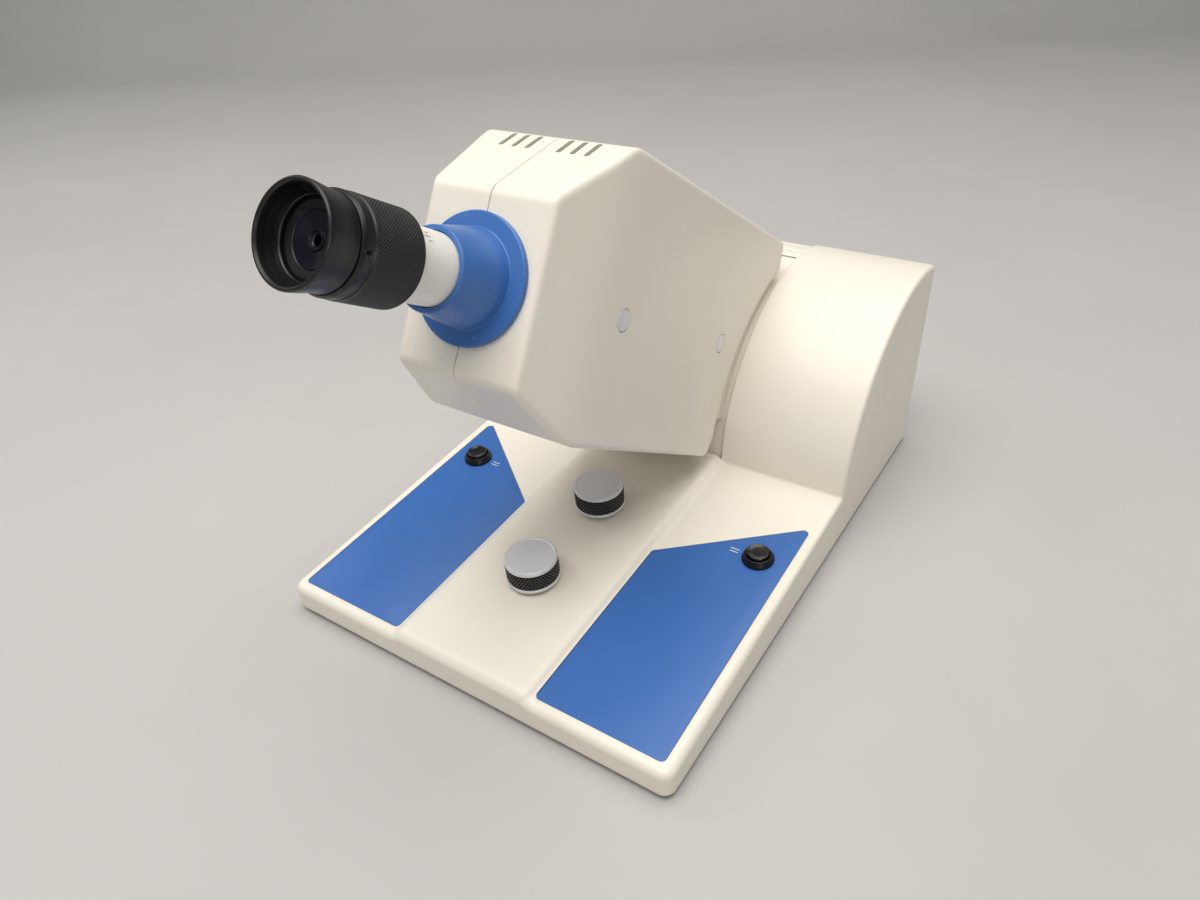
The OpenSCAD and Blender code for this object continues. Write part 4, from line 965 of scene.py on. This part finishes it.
INK_BLACK = finish_paint("ink_black", (0.16, 0.17, 0.19), (0.12, 0.13, 0.15), 0.5, 2500.0, 0.00002)

SPECIAL = {"pupil_stop": "coated_stop", "left_button_cap": "gloss_black", "right_button_cap": "gloss_black"}
slots = {s["node"]: s["material_slot"] for s in frame["record"]["subparts"]}
body_of_node = {n: body_of(o) for n, o in frame["nodes"].items()}


def paint(obj, mat):
    obj.data.materials.clear()
    obj.data.materials.append(mat)


def stand_in(obj, node):
    """The finished piece obj takes the place of a CAD node."""
    paint(obj, MATERIALS[SPECIAL.get(node, slots[node])])
    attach(obj, body_of_node[node][0])
    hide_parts(node)


made = {"base_casing": make_base()}
made.update(make_head())
made.update(make_eyepiece())
for knob in KNOB_S:
    made.update(make_knob(knob))
made.update(make_buttons())
made.update(make_panels())
made["side_plugs"] = make_plugs()
made["rubber_feet"] = make_feet()
for node_name, piece in made.items():
    stand_in(piece, node_name)

strokes = make_strokes()
paint(strokes, INK_WHITE)
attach(strokes, "base")
ticks = make_ticks()
paint(ticks, INK_BLACK)
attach(ticks, "head")

for node_name, obj in frame["nodes"].items():
    if node_name in made:
        continue
    paint(obj, MATERIALS[slots[node_name]])
    obj.data.shade_smooth()
    mod = obj.modifiers.new("edges", "BEVEL")
    mod.width = 0.3 * MM
    mod.segments = 2
    mod.limit_method = "ANGLE"
    mod.angle_limit = math.radians(40)
    mod.harden_normals = False
    mod.use_clamp_overlap = True
    weighted = obj.modifiers.new("normals", "WEIGHTED_NORMAL")
    weighted.keep_sharp = True


# ---------- studio ----------

def make_floor():
    n = Nodes("studio_floor")
    broad = n.noise(2.5, 4.0, 0.6)
    tint = n.mix(n.remap(broad, "Fac", 0.3, 0.7, 0.0, 1.0), 0, srgb(0.74, 0.735, 0.725), srgb(0.715, 0.71, 0.70))
    n.tree.links.new(tint.outputs[2], n.bsdf.inputs["Base Color"])
    n.bsdf.inputs["Roughness"].default_value = 0.7
    fine = n.noise(600.0)
    n.wire(n.bump(fine, "Fac", 0.2, 0.0001), "Normal", n.bsdf, "Normal")
    size, rise, radius, back = 3.0, 2.2, 0.6, 1.6
    prof = [(-size, 0.0), (back, 0.0)]
    prof += [(back + radius * math.sin(a), radius * (1 - math.cos(a)))
             for a in [math.pi / 2 * k / 12 for k in range(1, 13)]]
    prof.append((back + radius, rise))
    verts, faces = [], []
    turn = Matrix.Rotation(math.radians(34.65), 4, "Z")
    for x in (-size * 1.6, size * 1.6):
        for y, z in prof:
            verts.append(turn @ Vector((x, y, z)))
    m = len(prof)
    for k in range(m - 1):
        faces.append((k, k + 1, m + k + 1, m + k))
    mesh = bpy.data.meshes.new("studio_floor")
    mesh.from_pydata(verts, [], faces)
    mesh.shade_smooth()
    obj = link("studio_floor", mesh)
    obj.data.materials.append(n.mat)
    return obj


def area(name, place, target, size, power, color):
    lamp = bpy.data.lights.new(name, "AREA")
    lamp.shape = "RECTANGLE"
    lamp.size, lamp.size_y = size
    lamp.energy = power
    lamp.color = color
    obj = link(name, lamp)
    obj.location = place
    obj.rotation_euler = (Vector(target) - Vector(place)).to_track_quat("-Z", "Y").to_euler()
    return obj


floor = make_floor()
lamps = [
    area("key", (-0.1, -0.75, 1.85), (0, 0.0, 0.08), (1.7, 1.0), 18.0, (1.0, 0.965, 0.92)),
    area("top", (0.15, 0.2, 1.9), (0, 0.1, 0.05), (2.0, 1.6), 27.0, (1.0, 0.97, 0.93)),
    area("front_right", (1.5, -1.5, 0.9), (0, 0, 0.12), (0.8, 0.8), 5.0, (1.0, 0.98, 0.95)),
    area("left", (-1.6, -0.2, 1.2), (0, 0, 0.12), (1.0, 1.0), 5.0, (0.97, 0.98, 1.0)),
]

bpy.context.scene.view_settings.view_transform = "Standard"
world = bpy.data.worlds.new("studio")
world.use_nodes = True
world.node_tree.nodes["Background"].inputs["Color"].default_value = (0.96, 0.97, 1.0, 1.0)
world.node_tree.nodes["Background"].inputs["Strength"].default_value = 0.24
bpy.context.scene.world = world


def make_camera():
    """Camera of the main view."""
    az, el, roll = (math.radians(v) for v in (34.6509, 33.7737, -2.8849))
    right = Vector((math.cos(az), math.sin(az), 0))
    back = Vector((math.sin(az) * math.cos(el), -math.cos(az) * math.cos(el), math.sin(el)))
    up = back.cross(right)
    c, s = math.cos(roll), math.sin(roll)
    r2, u2 = right * c + up * s, up * c - right * s
    data = bpy.data.cameras.new("camera")
    data.sensor_width = 36.0
    data.lens = 25.963
    data.clip_start = 0.01
    obj = link("camera", data)
    m = Matrix((r2, u2, back)).transposed().to_4x4()
    m.translation = Vector((0.230526, -0.349823, 0.339886))
    obj.matrix_world = m
    return obj


bpy.context.scene.camera = make_camera()
